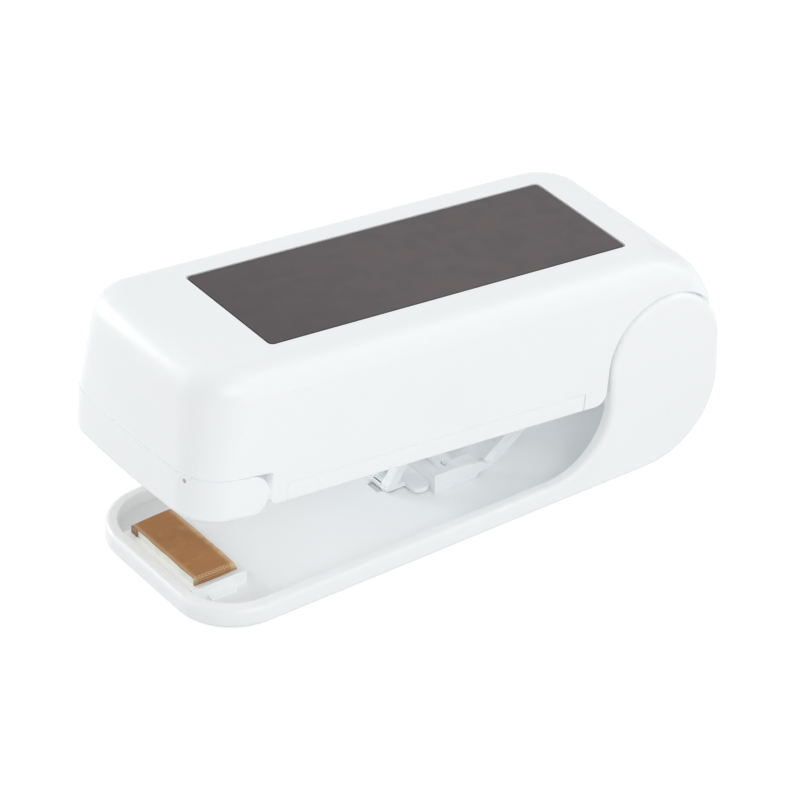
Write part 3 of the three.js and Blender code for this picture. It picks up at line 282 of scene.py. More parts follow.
class Shader:
    """Node tree of a material or a world, written as Python expressions."""

    def __init__(self, owner):
        owner.use_nodes = True
        self.tree = owner.node_tree
        self.tree.nodes.clear()

    def node(self, kind, settings=None, sockets=None, output=0):
        """Adds a node of a type, named without its prefix, and gives one of its outputs."""
        made = self.tree.nodes.new("ShaderNode" + kind)
        for name, value in (settings or {}).items():
            setattr(made, name, value)
        for name, value in (sockets or {}).items():
            if isinstance(value, Wire):
                self.tree.links.new(value.socket, made.inputs[name])
            else:
                made.inputs[name].default_value = value
        return Wire(self, made.outputs[output]) if len(made.outputs) else None

    def maths(self, operation, *values):
        return self.node("Math", {"operation": operation}, dict(enumerate(values)))

    def between(self, value, low, high):
        """0 below low, 1 above high and smooth between."""
        sockets = {"Value": value, "From Min": low, "From Max": high}
        return self.node("MapRange", {"interpolation_type": "SMOOTHSTEP"}, sockets)

    def blend(self, amount, first, second):
        """Mixes two colours. Sockets 6 and 7 and output 2 of the node are its colour ones."""
        sockets = {0: amount}
        for index, value in ((6, first), (7, second)):
            sockets[index] = value if isinstance(value, Wire) else (*value, 1.0)
        return self.node("Mix", {"data_type": "RGBA"}, sockets, 2)

    def place(self):
        return self.node("TexCoord", output="Object")

    def axis(self, name):
        return self.node("SeparateXYZ", sockets={"Vector": self.place()}, output=name)

    def noise(self, scale, detail=2.0, where=None, roughness=0.5):
        """Smooth noise with a scale in waves per metre."""
        sockets = {"Scale": scale, "Detail": detail, "Roughness": roughness}
        sockets["Vector"] = where or self.place()
        return self.node("TexNoise", {"noise_dimensions": "3D"}, sockets)

    def streaks(self, scales, detail=3.0, turned=(0, 0, 0), roughness=0.5):
        """Noise with its own scale along each axis."""
        sockets = {"Vector": self.place(), "Scale": scales, "Rotation": turned}
        return self.noise(1.0, detail, self.node("Mapping", {"vector_type": "POINT"}, sockets), roughness)

    def flecks(self, scale, radius, rarity):
        """Few small dots: 1 inside a dot. The rarity is the share of cells without one."""
        cell = {"feature": "F1", "voronoi_dimensions": "3D"}
        sockets = {"Vector": self.place(), "Scale": scale}
        distance = self.node("TexVoronoi", cell, sockets, "Distance")
        chance = self.node("TexVoronoi", cell, sockets, "Color")
        drawn = self.node("SeparateColor", sockets={"Color": chance})
        return (1 - self.between(distance, radius * scale * 0.6, radius * scale)) * (drawn > rarity)

    def bump(self, height, depth, strength):
        """Fine relief of a depth in metres."""
        return self.node("Bump", sockets={"Height": height, "Distance": depth, "Strength": strength})

    def finish(self, **sockets):
        """Ends in a Principled surface. Words in names are joined by an underscore."""
        named = {name.replace("_", " "): value for name, value in sockets.items()}
        surface = self.node("BsdfPrincipled", sockets=named)
        self.node("OutputMaterial", sockets={"Surface": surface})


def times(tone, factor):
    return [channel * factor for channel in tone]


# Materials

def white_plastic(shader, first, second, roughness, grain_size, wear=1.0):
    """Moulded white plastic: fine grain, faint drift of tone, hairline scuffs and a little dust."""
    drift = shader.noise(22, 3.0)
    clouds = shader.noise(70, 2.0)
    grain = shader.noise(1 / grain_size, 2.0)
    waviness = shader.noise(110, 1.0)
    hair = shader.streaks((90, 1500, 900), 3.0, (0.3, 0.2, 0.5), 0.62)
    hair_across = shader.streaks((1300, 110, 1100), 3.0, (0.1, 0.5, 0.2), 0.62)
    scuffs = shader.between(hair, 0.66, 0.72) + shader.between(hair_across, 0.67, 0.73)
    dust = shader.flecks(260, 0.11 * MM, 0.93)
    tone = shader.blend(shader.between(drift, 0.35, 0.65), first, second)
    tone = shader.blend(shader.between(clouds, 0.5, 0.8) * 0.25 * wear, tone, times(first, 0.965))
    tone = shader.blend(dust * 0.5 * wear, tone, times(first, 0.86))
    rough = roughness + (clouds - 0.5) * 0.10 + (grain - 0.5) * 0.12 + scuffs * 0.14 * wear
    height = grain * 0.55 + waviness * 1.3 - scuffs * 0.35 * wear
    shader.finish(Base_Color=tone, Roughness=rough, Normal=shader.bump(height, 0.012 * MM, 0.55), IOR=1.49)


def painted_glow_plastic(shader, first, glow):
    """White plastic inside a narrow seam, with a painted glow that lightens the shade in the seam."""
    drift = shader.noise(60, 2.0)
    tone = shader.blend(drift, first, times(first, 0.95))
    # Painted light: the emission lightens the shade inside the seam
    shader.finish(Base_Color=tone, Roughness=0.5, Emission_Color=tone, Emission_Strength=glow)


def moulded_acetal(shader, first, grain_size):
    """Denser white plastic of the spring and the lock, with faint flow lines along the mould."""
    flow = shader.streaks((120, 700, 700))
    grain = shader.noise(1 / grain_size, 2.0)
    clouds = shader.noise(160, 2.0)
    cool = [first[0] * 0.96, first[1] * 0.985, first[2]]
    tone = shader.blend(shader.between(flow, 0.4, 0.7), first, cool)
    shader.finish(
        Base_Color=tone,
        Roughness=0.42 + (clouds - 0.5) * 0.16 + (flow - 0.5) * 0.1,
        Normal=shader.bump(grain * 0.6 + flow * 0.8, 0.012 * MM, 0.6),
        IOR=1.48,
    )


def soft_pad(shader, first):
    """Closed-cell soft rubber: pale, dull and finely pored."""
    pores = shader.noise(5200, 2.0)
    clouds = shader.noise(420, 3.0)
    pits = shader.flecks(2100, 0.09 * MM, 0.45)
    tone = shader.blend(shader.between(clouds, 0.35, 0.75), first, times(first, 0.88))
    tone = shader.blend(pits * 0.35, tone, times(first, 0.7))
    shader.finish(
        Base_Color=tone,
        Roughness=0.78 + (clouds - 0.5) * 0.12,
        Normal=shader.bump(pores * 0.6 - pits, 0.03 * MM, 0.6),
        Sheen_Weight=0.15,
    )


def coated_cloth(shader, dark, light, pitch, gloss, worn=None, box=None):
    """Woven glass cloth under a brown coating. The threads follow the tape over its folds.

    With the box of a tape, its threads are also worn bare along the sides and the folds, its ends get painted shade
    towards the bottom, and its front flap is darkened.
    """
    across = shader.axis("X")
    lengthwise = abs(shader.axis("Y")) - shader.axis("Z")
    warp_wave = shader.maths("SINE", across * (math.pi / pitch))
    weft_wave = shader.maths("SINE", lengthwise * (math.pi / pitch))
    over = shader.between(warp_wave * weft_wave, -0.12, 0.12)
    threads = over * abs(warp_wave) + (1 - over) * abs(weft_wave)
    clouds = shader.noise(520, 3.0)
    patches = shader.noise(190, 2.0)
    fibre = shader.streaks((9000, 2400, 5000), 2.0)
    stain = [dark[0] * 0.74, dark[1] * 0.70, dark[2] * 0.66]
    tone = shader.blend(shader.between(patches, 0.45, 0.75) * 0.35, dark, stain)
    tone = shader.blend(shader.between(threads, 0.55, 1.0) * (0.16 + over * 0.20), tone, light)
    tone = shader.blend(shader.between(clouds, 0.5, 0.8) * 0.4, tone, light)
    if box:
        low, high = box
        middle, half = (low.x + high.x) / 2, (high.x - low.x) / 2
        edge = shader.between(abs(across - middle), half - 0.85 * MM, half - 0.1 * MM)
        tone = shader.blend(edge * 0.38, tone, worn)
        rear = shader.between(across, high.x - 1.2 * MM, high.x - 0.1 * MM)
        tone = shader.blend(rear * shader.between(clouds, 0.25, 0.6) * 0.5, tone, worn)
        ridge = 1 - shader.between(abs(lengthwise - (high.y - high.z)), 0.30 * MM, 0.62 * MM)
        near = shader.between(shader.axis("Y"), 2 * MM, -2 * MM)
        beads = shader.between(warp_wave * weft_wave, 0.25, 0.7)
        tone = shader.blend(ridge * near * (0.15 + beads * 0.75), tone, worn)
        cords = shader.between(shader.maths("SINE", shader.axis("Z") * (math.pi / (0.24 * MM))), -0.2, 0.9)
        below = shader.between(shader.axis("Z"), high.z - 0.25 * MM, high.z - 0.45 * MM)
        tone = shader.blend(cords * below * near * (0.2 + abs(warp_wave) * 0.3), tone, worn)
        # Painted shade: the tape's ends darken towards the bottom; the flap round the pad's front corner is darkened
        # too
        shade = shader.between(shader.axis("Z"), high.z - 0.35 * MM, low.z) * 0.45
        flap = 1 - shader.between(across, low.x - 0.05 * MM, low.x + 0.06 * MM)
        tone = shader.blend(shade + flap * 0.45, tone, times(dark, 0.45))
    shader.finish(
        Base_Color=tone,
        Roughness=gloss + (1 - threads) * 0.18 + (fibre - 0.5) * 0.12,
        Normal=shader.bump(threads * 0.9 + fibre * 0.25, 0.05 * MM, 0.7),
        IOR=1.38,
    )


def magnet_rubber(shader, first, pale, box):
    """Dark bonded-ferrite sheet: satin, faintly mottled, with a few pale flecks and painted shade towards its front
    end.
    """
    mottle = shader.noise(260, 4.0, roughness=0.6)
    grain = shader.noise(2600, 2.0)
    wipe = shader.streaks((30, 260, 260), 3.0, (0, 0, 0.35))
    small = shader.flecks(330, 0.07 * MM, 0.90)
    large = shader.flecks(85, 0.2 * MM, 0.86)
    deep = times(first, 0.93)
    brown = [first[0] * 1.09, first[1] * 1.04, first[2] * 1.01]
    tone = shader.blend(shader.between(mottle, 0.35, 0.65), deep, brown)
    # Painted shade: the sheet darkens towards its front end
    front = 1 - shader.between(shader.axis("X"), box[0].x, (box[0].x + box[1].x) / 2)
    tone = shader.blend(front * 0.42, tone, times(first, 0.55))
    tone = shader.blend(shader.between(wipe, 0.55, 0.8) * 0.15, tone, times(first, 1.6))
    tone = shader.blend(small * 0.35 + large * 0.9, tone, pale)
    shader.finish(
        Base_Color=tone,
        Roughness=0.56 + (mottle - 0.5) * 0.14 + (wipe - 0.5) * 0.16,
        Normal=shader.bump(grain * 0.7 + mottle * 0.6 + small, 0.02 * MM, 0.6),
        IOR=1.5,
    )


def bare_metal(shader, first, second, roughness, streak_scale, tarnish=0.2):
    """Bright metal with drawing streaks and light tarnish."""
    streaks = shader.streaks(streak_scale)
    clouds = shader.noise(300, 3.0)
    tone = shader.blend(shader.between(clouds, 0.45, 0.8) * tarnish, first, second)
    shader.finish(
        Base_Color=tone,
        Metallic=1.0,
        Roughness=roughness + (streaks - 0.5) * 0.16 + (clouds - 0.5) * 0.1,
        Normal=shader.bump(streaks, 0.008 * MM, 0.5),
    )


def cell_sleeve(shader, first):
    """Shrunk plastic sleeve with lengthwise streaks and fine sheen."""
    sweep = shader.streaks((25, 500, 500), 2.0)
    clouds = shader.noise(180, 3.0)
    lighter = [min(1.0, channel * 1.35 + 0.01) for channel in first]
    tone = shader.blend(shader.between(sweep, 0.4, 0.7) * 0.5, first, lighter)
    shader.finish(
        Base_Color=tone,
        Roughness=0.30 + (clouds - 0.5) * 0.12,
        Normal=shader.bump(sweep + clouds * 0.5, 0.015 * MM, 0.5),
        Coat_Weight=0.25,
        IOR=1.5,
    )


def finishes():
    """Makes every material once and gives them by name."""
    scene = bpy.context.scene
    plastic, pad, magnet, metal = scene.sealer_plastic, scene.sealer_pad, scene.sealer_magnet, scene.sealer_metal
    grain = plastic.grain_size
    pale, dark, light = plastic.shell_colour, pad.tape_colour, pad.tape_light
    rows = {
        "shell_white": (white_plastic, pale, plastic.shell_warm, plastic.roughness, grain),
        "inner_white": (white_plastic, plastic.inner_colour, plastic.inner_colour, 0.5, grain * 1.6, 0.6),
        "spring_white": (moulded_acetal, plastic.spring_colour, grain),
        "pad_rubber": (soft_pad, pad.pad_colour),
        "pad_cloth": (
            coated_cloth, dark, light, pad.thread_pitch, 0.42, pad.tape_worn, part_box("anvil_tape")),
        "heater_cloth": (coated_cloth, times(dark, 0.9), light, pad.thread_pitch * 0.8, 0.3),
        "magnet_dark": (magnet_rubber, magnet.sheet_colour, magnet.fleck_colour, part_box("magnet_sheet")),
        "steel_drawn": (bare_metal, metal.steel_colour, (0.42, 0.40, 0.38), 0.27, (900, 150, 900)),
        "steel_wire": (bare_metal, metal.steel_colour, (0.46, 0.45, 0.44), 0.3, (700, 700, 700)),
        "heater_alloy": (bare_metal, (0.47, 0.44, 0.41), (0.36, 0.27, 0.24), 0.36, (1500, 120, 1500), 0.6),
        "brass_plate": (bare_metal, metal.brass_colour, (0.44, 0.31, 0.17), 0.3, (1100, 200, 1100), 0.5),
        "sleeve_plain": (cell_sleeve, metal.sleeve_colour),
        "speck_brown": (soft_pad, (0.60, 0.53, 0.46)),
        # Painted glow that lightens the shade in the narrow seams and notches
        "seam_painted_glow": (painted_glow_plastic, pale, SEAM_GLOW),
        "notch_painted_glow": (painted_glow_plastic, pale, NOTCH_GLOW),
    }
    for name, (make, *values) in rows.items():
        if name not in bpy.data.materials:
            make(Shader(bpy.data.materials.new(name)), *values)
    return bpy.data.materials


# Modelling by hand

def alone(piece):
    """Makes a piece the only selected and active one."""
    bpy.ops.object.select_all(action="DESELECT")
    piece.select_set(True)
    bpy.context.view_layer.objects.active = piece


def fresh(add, name, **settings):
    """Adds a primitive with nothing else selected and gives it its name."""
    bpy.ops.object.select_all(action="DESELECT")
    add(**settings)
    piece = bpy.context.active_object
    piece.name = name
    piece.data.name = name
    return piece


def leave():
    bpy.ops.object.mode_set(mode="OBJECT")


def edit(piece, kind="FACE", action="DESELECT"):
    """Opens a piece for editing, with nothing selected unless the action says so."""
    alone(piece)
    bpy.ops.object.mode_set(mode="EDIT")
    bpy.ops.mesh.select_mode(type=kind)
    bpy.ops.mesh.select_all(action=action)


def pick(piece, test, kind="FACE"):
    """Opens a piece with the faces or edges selected that pass a test of their centre and normal or way."""
    leave()
    edit(piece, kind)
    leave()
    mesh = piece.data
    if kind == "FACE":
        for face in mesh.polygons:
            face.select = test(face.center, face.normal)
    else:
        for line in mesh.edges:
            first, last = (mesh.vertices[index].co for index in line.vertices)
            line.select = test((first + last) / 2, (last - first).normalized())
    bpy.ops.object.mode_set(mode="EDIT")


def inset(*widths):
    for width in widths:
        bpy.ops.mesh.inset(thickness=width)


def push(x=0, y=0, z=0, kind="region"):
    """Extrudes what is selected."""
    extrude = getattr(bpy.ops.mesh, "extrude_" + kind + "_move")
    extrude(TRANSFORM_OT_translate={"value": (x, y, z)})


def cut_up(piece, cuts):
    """Divides every face of a box into a grid."""
    edit(piece, action="SELECT")
    bpy.ops.mesh.subdivide(number_cuts=cuts)
    leave()


def done(piece):
    """Puts the place of a piece in its mesh."""
    alone(piece)
    bpy.ops.object.transform_apply(location=True, rotation=True, scale=True)


def start_box(name, low, high):
    centre = (Vector(low) + Vector(high)) / 2
    piece = fresh(bpy.ops.mesh.primitive_cube_add, name, size=1, location=centre)
    piece.scale = Vector(high) - Vector(low)
    done(piece)
    return piece


def start_rod(name, radius, start, end, sides):
    start, end = Vector(start), Vector(end)
    way = end - start
    piece = fresh(
        bpy.ops.mesh.primitive_cylinder_add, name, vertices=sides, radius=radius, depth=way.length,
        location=(start + end) / 2, rotation=way.to_track_quat("Z", "Y").to_euler(),
    )
    done(piece)
    return piece


def modifier(piece, kind, **settings):
    """Adds a modifier and applies it."""
    alone(piece)
    made = piece.modifiers.new(kind.title(), kind)
    for name, value in settings.items():
        setattr(made, name, value)
    bpy.ops.object.modifier_apply(modifier=made.name)


def rounded(piece, width, segments, angle):
    modifier(
        piece, "BEVEL", width=width, segments=segments, limit_method="ANGLE",
        angle_limit=math.radians(angle), harden_normals=False, use_clamp_overlap=False, miter_outer="MITER_ARC",
    )


def smooth(piece, angle=32):
    alone(piece)
    bpy.ops.object.shade_smooth_by_angle(angle=math.radians(angle))


def outward(piece):
    edit(piece, action="SELECT")
    bpy.ops.mesh.normals_make_consistent(inside=False)
    leave()


def moved(piece, place=FROM_LEVEL):
    """Carries a piece's mesh from a level frame to its place at rest."""
    piece.data.transform(place)
    piece.data.update()


def dress(piece, material, body, node):
    """Gives a finished piece its material and body, and hides the solid that it stands for."""
    piece.data.materials.clear()
    piece.data.materials.append(finishes()[material])
    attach(piece, body)
    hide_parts(node)


def copy_of(node, name, divided=False):
    """Copy of a solid's mesh with its points merged and its flat faces joined, or divided in an even way."""
    source = frame["nodes"][node]
    piece = bpy.data.objects.new(name, source.data.copy())
    piece.data.name = name
    bpy.context.scene.collection.objects.link(piece)
    alone(piece)
    if piece.data.has_custom_normals:
        bpy.ops.mesh.customdata_custom_splitnormals_clear()
    edit(piece, "VERT", "SELECT")
    bpy.ops.mesh.remove_doubles(threshold=MERGE_DISTANCE)
    bpy.ops.mesh.dissolve_limited(angle_limit=FLAT_ANGLE)
    if divided:
        bpy.ops.mesh.select_mode(type="FACE")
        bpy.ops.mesh.select_all(action="DESELECT")
        bpy.ops.mesh.select_face_by_sides(number=4, type="GREATER")
        bpy.ops.mesh.quads_convert_to_tris(quad_method="BEAUTY", ngon_method="BEAUTY")
    leave()
    return piece


def soften(piece, width):
    """Rounds the sharp edges of a copied solid and shades its curves smooth."""
    rounded(piece, width, segments=2, angle=32)
    smooth(piece, angle=38)
    modifier(piece, "WEIGHTED_NORMAL", keep_sharp=True, weight=70)


def soft_copy(node, name, width, material, body):
    """Rounded and dressed copy of a solid."""
    piece = copy_of(node, name)
    soften(piece, width)
    dress(piece, material, body, node)
    return piece


def tint(piece, material, test, place=FROM_LEVEL):
    """Gives one more material to the faces that pass a test in a level frame."""
    piece.data.materials.append(finishes()[material])
    index = len(piece.data.materials) - 1
    back = place.inverted()
    turn = back.to_3x3()
    for face in piece.data.polygons:
        if test(back @ face.center, turn @ face.normal):
            face.material_index = index


# Pieces

class MakeStage(bpy.types.Operator):
    """Make the pale floor, the soft lamps and the camera"""

    bl_idname = "sealer.make_stage"
    bl_label = "Stage, lamps and camera"

    def execute(self, context):
        scene = context.scene
        sizes = scene.sealer_stage
        self.camera(scene, sizes)
        self.floor(sizes)
        self.sky(scene, sizes)
        self.lamps(scene, sizes)
        scene.view_settings.view_transform = "Standard"
        scene.cycles.diffuse_bounces = sizes.bounces
        scene.cycles.max_bounces = sizes.bounces + 4
        return {"FINISHED"}

    def camera(self, scene, sizes):
        """Camera at the viewing angle that was fitted to the photograph."""
        data = bpy.data.cameras.new("camera")
        data.lens = sizes.focal_length
        data.sensor_width = 36.0
        data.shift_x = -1 / IMAGE_SIDE
        data.shift_y = 1.5 / IMAGE_SIDE
        data.clip_end = 20.0
        camera = bpy.data.objects.new("camera", data)
        right = Vector((0.81694731, -0.57671231, 0.0))
        up = Vector((0.31773972, 0.45009722, 0.83453818))
        back = Vector((-0.48128844, -0.68177372, 0.55095012))
        turned = Matrix((right, up, back)).transposed().to_4x4()
        from_hinge = Vector((-387.17, -492.43, 393.32)) * MM
        camera.matrix_world = Matrix.Translation(HINGE + from_hinge) @ turned
        scene.collection.objects.link(camera)
        scene.camera = camera

    def floor(self, sizes):
        """White floor that keeps a faint shadow."""
        floor = fresh(
            bpy.ops.mesh.primitive_grid_add, "floor", x_subdivisions=8, y_subdivisions=8, size=sizes.floor_side,
        )
        white = bpy.data.materials.new("floor_white")
        floor.data.materials.append(white)
        shader = Shader(white)
        seen = shader.node("LightPath", output="Is Camera Ray")
        mirrored = shader.node("LightPath", output="Is Glossy Ray")
        bright = shader.maths("MAXIMUM", seen, mirrored)
        cloud = shader.noise(3.0, 2.0)
        tone = shader.blend(cloud, (0.80, 0.80, 0.80), (0.82, 0.82, 0.82))
        plain = shader.node("BsdfDiffuse", sockets={"Color": tone})
        dim = shader.node("BsdfDiffuse", sockets={"Color": (0.42, 0.42, 0.42, 1.0)})
        # Painted shade: the floor's glow is darker in a soft rectangle under the part
        beyond_x = shader.between(abs(shader.axis("X")), 28 * MM, 34 * MM)
        beyond_y = shader.between(abs(shader.axis("Y")), 12 * MM, 16 * MM)
        glow_with_painted_shade = shader.blend(shader.maths("MAXIMUM", beyond_x, beyond_y), (0.60, 0.62, 0.65), (1, 1, 1))
        glow = shader.node("Emission", sockets={"Color": glow_with_painted_shade, "Strength": 0.66})
        both = shader.node("AddShader", sockets={0: dim, 1: glow})
        surface = shader.node("MixShader", sockets={0: bright, 1: plain, 2: both})
        shader.node("OutputMaterial", sockets={"Surface": surface})

    def sky(self, scene, sizes):
        """Even light all round, that the camera sees as plain white."""
        world = bpy.data.worlds.new("studio")
        scene.world = world
        shader = Shader(world)
        seen = shader.node("LightPath", output="Is Camera Ray")
        passed = shader.node("LightPath", output="Is Transmission Ray")
        bright = shader.maths("MAXIMUM", seen, passed)
        sky = {"Color": (0.985, 0.995, 1.0, 1.0), "Strength": sizes.sky_strength}
        even = shader.node("Background", sockets=sky)
        white = shader.node("Background", sockets={"Color": (1.0, 1.0, 1.0, 1.0)})
        mix = shader.node("MixShader", sockets={0: bright, 1: even, 2: white})
        shader.node("OutputWorld", sockets={"Surface": mix})

    def lamps(self, scene, sizes):
        """Three square lamps that face the origin."""
        for name, power, side, place in (
            ("lamp_near", sizes.near_power, 0.40, (-0.12, -0.66, 0.42)),
            ("lamp_far", sizes.far_power, 0.40, (-0.35, 0.70, 0.30)),
            ("lamp_rear", sizes.rear_power, 0.45, (0.60, -0.25, 0.42)),
        ):
            data = bpy.data.lights.new(name, "AREA")
            data.energy = power
            data.size = side
            lamp = bpy.data.objects.new(name, data)
            lamp.location = place
            lamp.rotation_euler = Vector(place).to_track_quat("Z", "Y").to_euler()
            scene.collection.objects.link(lamp)


class MakeShells(bpy.types.Operator):
    """Make the base, the upper housing, the press head and the battery cover"""

    bl_idname = "sealer.make_shells"
    bl_label = "White shells"

    def execute(self, context):
        width = context.scene.sealer_plastic.edge_round
        # The seam and notch tints give faces in the narrow gaps a painted glow that lightens their shade
        for node, body, name, edge, tints in (
            ("base_tray", "base", "base_shell", width, ()),
            ("upper_housing", "jaw", "jaw_shell", width / 2, (
                ("seam_painted_glow", in_housing_seam, FROM_HEAD),
                ("seam_painted_glow", in_cover_end),
                ("seam_painted_glow", in_arc),
                ("notch_painted_glow", in_rear_arc),
                ("notch_painted_glow", in_notch),
            )),
            ("heater_head", "head", "press_head", width / 2, (
                ("speck_brown", in_speck),
                ("seam_painted_glow", in_head_seam, FROM_HEAD),
            )),
            ("battery_cover", "cover", "cell_cover", width / 3, (("seam_painted_glow", in_cover_top),)),
        ):
            piece = copy_of(node, name, divided=node == "battery_cover")
            if node == "battery_cover":
                self.close_seam(piece)
            if node == "heater_head":
                self.shrink_speck(piece)
            soften(piece, edge)
            dress(piece, "shell_white", body, node)
            for tinted in tints:
                tint(piece, *tinted)
        return {"FINISHED"}

    def close_seam(self, cover):
        """Moves the top and the ends of the cover's bands to a hair's breadth from the housing."""
        back = FROM_LEVEL.inverted()
        low, high = COVER_LOW, COVER_HIGH
        for point in cover.data.vertices:
            place = back @ point.co
            if abs(place.y) < high.y - COVER_BAND:
                continue
            if place.z > low.z + COVER_BAND_TOP:
                place.z += COVER_SHIFT
            end = low.x if place.x < (low.x + high.x) / 2 else high.x
            inward = end - place.x
            if abs(inward) < COVER_CORNER:
                if abs(place.y) > high.y - COVER_CORNER:
                    place.x = end - inward * CORNER_SHARE
                    place.y = math.copysign(high.y - (high.y - abs(place.y)) * CORNER_SHARE, place.y)
                place.x += math.copysign(COVER_SHIFT, end - (low.x + high.x) / 2)
            point.co = FROM_LEVEL @ place

    def shrink_speck(self, head):
        """Makes the small blind hole in the head's front narrower and shallower."""
        back = FROM_LEVEL.inverted()
        mouth, floor = [], []
        for point in head.data.vertices:
            place = back @ point.co
            if place.x < SPECK_BEHIND and off_speck(place) < SPECK_RADIUS * SPECK_AROUND:
                (floor if place.x > SPECK_FLOOR else mouth).append((point, place))
        for ring, forward in ((mouth, 0.0), (floor, SPECK_FILL)):
            middle = sum((place for _, place in ring), Vector()) / len(ring)
            for point, place in ring:
                place = middle + (place - middle) * SPECK_SHARE
                place.x -= forward
                point.co = FROM_LEVEL @ place


class MakeMechanism(bpy.types.Operator):
    """Make the moulded return spring, the lock slider and the frame of the cells"""

    bl_idname = "sealer.make_mechanism"
    bl_label = "Spring, lock and cell frame"

    def execute(self, context):
        width = context.scene.sealer_plastic.edge_round
        soft_copy("return_spring", "arm_spring", width, "spring_white", "base")
        soft_copy("lock_slider", "lock_hook", width, "spring_white", "lock")
        bay = soft_copy("battery_tray", "cell_frame", width / 2, "inner_white", "jaw")
        # Painted glow lightens the shade in the notch behind the head's round ends
        tint(bay, "notch_painted_glow", in_notch)
        return {"FINISHED"}


class MakeMagnet(bpy.types.Operator):
    """Make the dark magnet sheet in the recess of the top"""

    bl_idname = "sealer.make_magnet"
    bl_label = "Magnet sheet"

    def execute(self, context):
        sizes = context.scene.sealer_magnet
        low, high = own_box("magnet_sheet")
        sheet = start_box("magnet_face", low, high)
        pick(sheet, lambda centre, way: abs(way.z) > FACING, "EDGE")
        corner = 0.6 * MM
        bpy.ops.mesh.bevel(offset=corner, segments=5, affect="EDGES")
        leave()
        rounded(sheet, sizes.edge_round, 3, 50)
        smooth(sheet)
        modifier(sheet, "WEIGHTED_NORMAL", keep_sharp=True)
        moved(sheet)
        dress(sheet, "magnet_dark", "jaw", "magnet_sheet")
        return {"FINISHED"}


class MakePad(bpy.types.Operator):
    """Make the soft pad and the coated cloth over it"""

    bl_idname = "sealer.make_pad"
    bl_label = "Pad and tape"

    def execute(self, context):
        self.pad()
        self.tape(context.scene.sealer_pad)
        return {"FINISHED"}

    def pad(self):
        """Block with soft edges, whose long sides are a little hollow."""
        low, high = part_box("anvil_pad")
        edge, dent = 0.16 * MM, 0.06 * MM
        pad = start_box("soft_pad", low, high)
        cut_up(pad, 5)
        rounded(pad, edge, 3, 60)
        middle = (low + high) / 2
        half = (high - low) / 2
        for point in pad.data.vertices:
            across = (point.co.y - middle.y) / half.y
            upward = (point.co.z - middle.z) / half.z
            hollow = (1 - across ** 2) * (1 - upward ** 2)
            point.co.x += math.copysign(dent, middle.x - point.co.x) * hollow
        smooth(pad, 60)
        dress(pad, "pad_rubber", "base", "anvil_pad")

    def tape(self, sizes):
        """One strip, run up the near end of the pad, over it and down the far end."""
        low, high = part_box("anvil_tape")
        pad_low, pad_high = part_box("anvil_pad")
        clear = 0.01 * MM
        lift, bulge, fold = 0.05 * MM, 0.03 * MM, 0.3 * MM
        fold_steps = 6
        steps = 24
        half = pad_high.y + clear
        top = pad_high.z + clear
        path = [(half, low.z + lift), (half + bulge, (low.z + top) / 2)]
        for step in range(fold_steps + 1):
            angle = math.pi / 2 * step / fold_steps
            path.append((half - fold + fold * math.cos(angle), top - fold + fold * math.sin(angle)))
        for step in range(1, steps // 2 + 1):
            path.append(((half - fold) * (1 - 2 * step / steps), top))
        path = [(-y, z) for y, z in path] + [(y, z) for y, z in reversed(path[:-1])]
        edge_front, edge_rear = pad_low.x - clear, high.x
        strip = fresh(bpy.ops.mesh.primitive_plane_add, "pad_tape", size=1)
        edit(strip, "VERT", "SELECT")
        bpy.ops.mesh.merge(type="CENTER")
        bpy.ops.transform.translate(value=(edge_front, *path[0]))
        rows = 14
        for _ in range(rows):
            push(x=(edge_rear - edge_front) / rows, kind="vertices")
        bpy.ops.mesh.select_all(action="SELECT")
        bpy.ops.mesh.select_mode(type="EDGE")
        bpy.ops.mesh.select_all(action="SELECT")
        for (y, z), (next_y, next_z) in zip(path, path[1:]):
            push(0, next_y - y, next_z - z, "edges")
        self.shape_strip(strip, edge_front, edge_rear, half, top)
        self.flap(strip, sizes, edge_front, half)
        outward(strip)
        modifier(strip, "SOLIDIFY", thickness=sizes.tape_thickness, offset=1.0, use_even_offset=True)
        rounded(strip, 0.05 * MM, 2, 50)
        smooth(strip, 60)
        dress(strip, "pad_cloth", "base", "anvil_tape")

    def shape_strip(self, strip, edge_front, edge_rear, half, top):
        """Lets the strip stand off at its ends, flare at the near fold and overhang a little along its sides."""
        leave()
        span = edge_rear - edge_front
        fold_reach, drop_reach = 1.8 * MM, 1.25 * MM
        for point in strip.data.vertices:
            along = (point.co.x - edge_front) / span
            end = max(0.0, min(1.0, (abs(point.co.y) - half + fold_reach) / fold_reach))
            drop = max(0.0, min(1.0, (top - point.co.z) / drop_reach))
            middle = 1.0 - end
            wander = math.sin(point.co.y * 900) * 0.035 + math.sin(point.co.y * 2300 + 1) * 0.02
            if point.co.y > 0:
                point.co.y += end * (0.42 * along + 0.10 * math.sin(math.pi * along)) * MM
                point.co.x -= end * 0.12 * MM * along
            else:
                point.co.y -= end * (0.12 * math.sin(math.pi * along) - 0.1 * drop) * MM
                point.co.x += 0.62 * MM * drop * max(0.0, 2 * along - 1) ** 1.5
            side = 1 if along > 0.5 else -1
            point.co.x += side * abs(2 * along - 1) ** 2 * (0.07 + wander) * MM * middle

    def flap(self, strip, sizes, edge_front, half):
        """Carries the far end's front edge round the pad's corner, in short steps."""
        pick(strip, lambda centre, way: centre.x < edge_front + 0.03 * MM and centre.y > half - 0.1 * MM, "EDGE")
        steps = 6
        last_lift = 0.06 * MM
        for step in range(steps):
            off = last_lift if step == steps - 1 else 0.0
            push(-off, -sizes.flap_length / steps, kind="edges")
        leave()


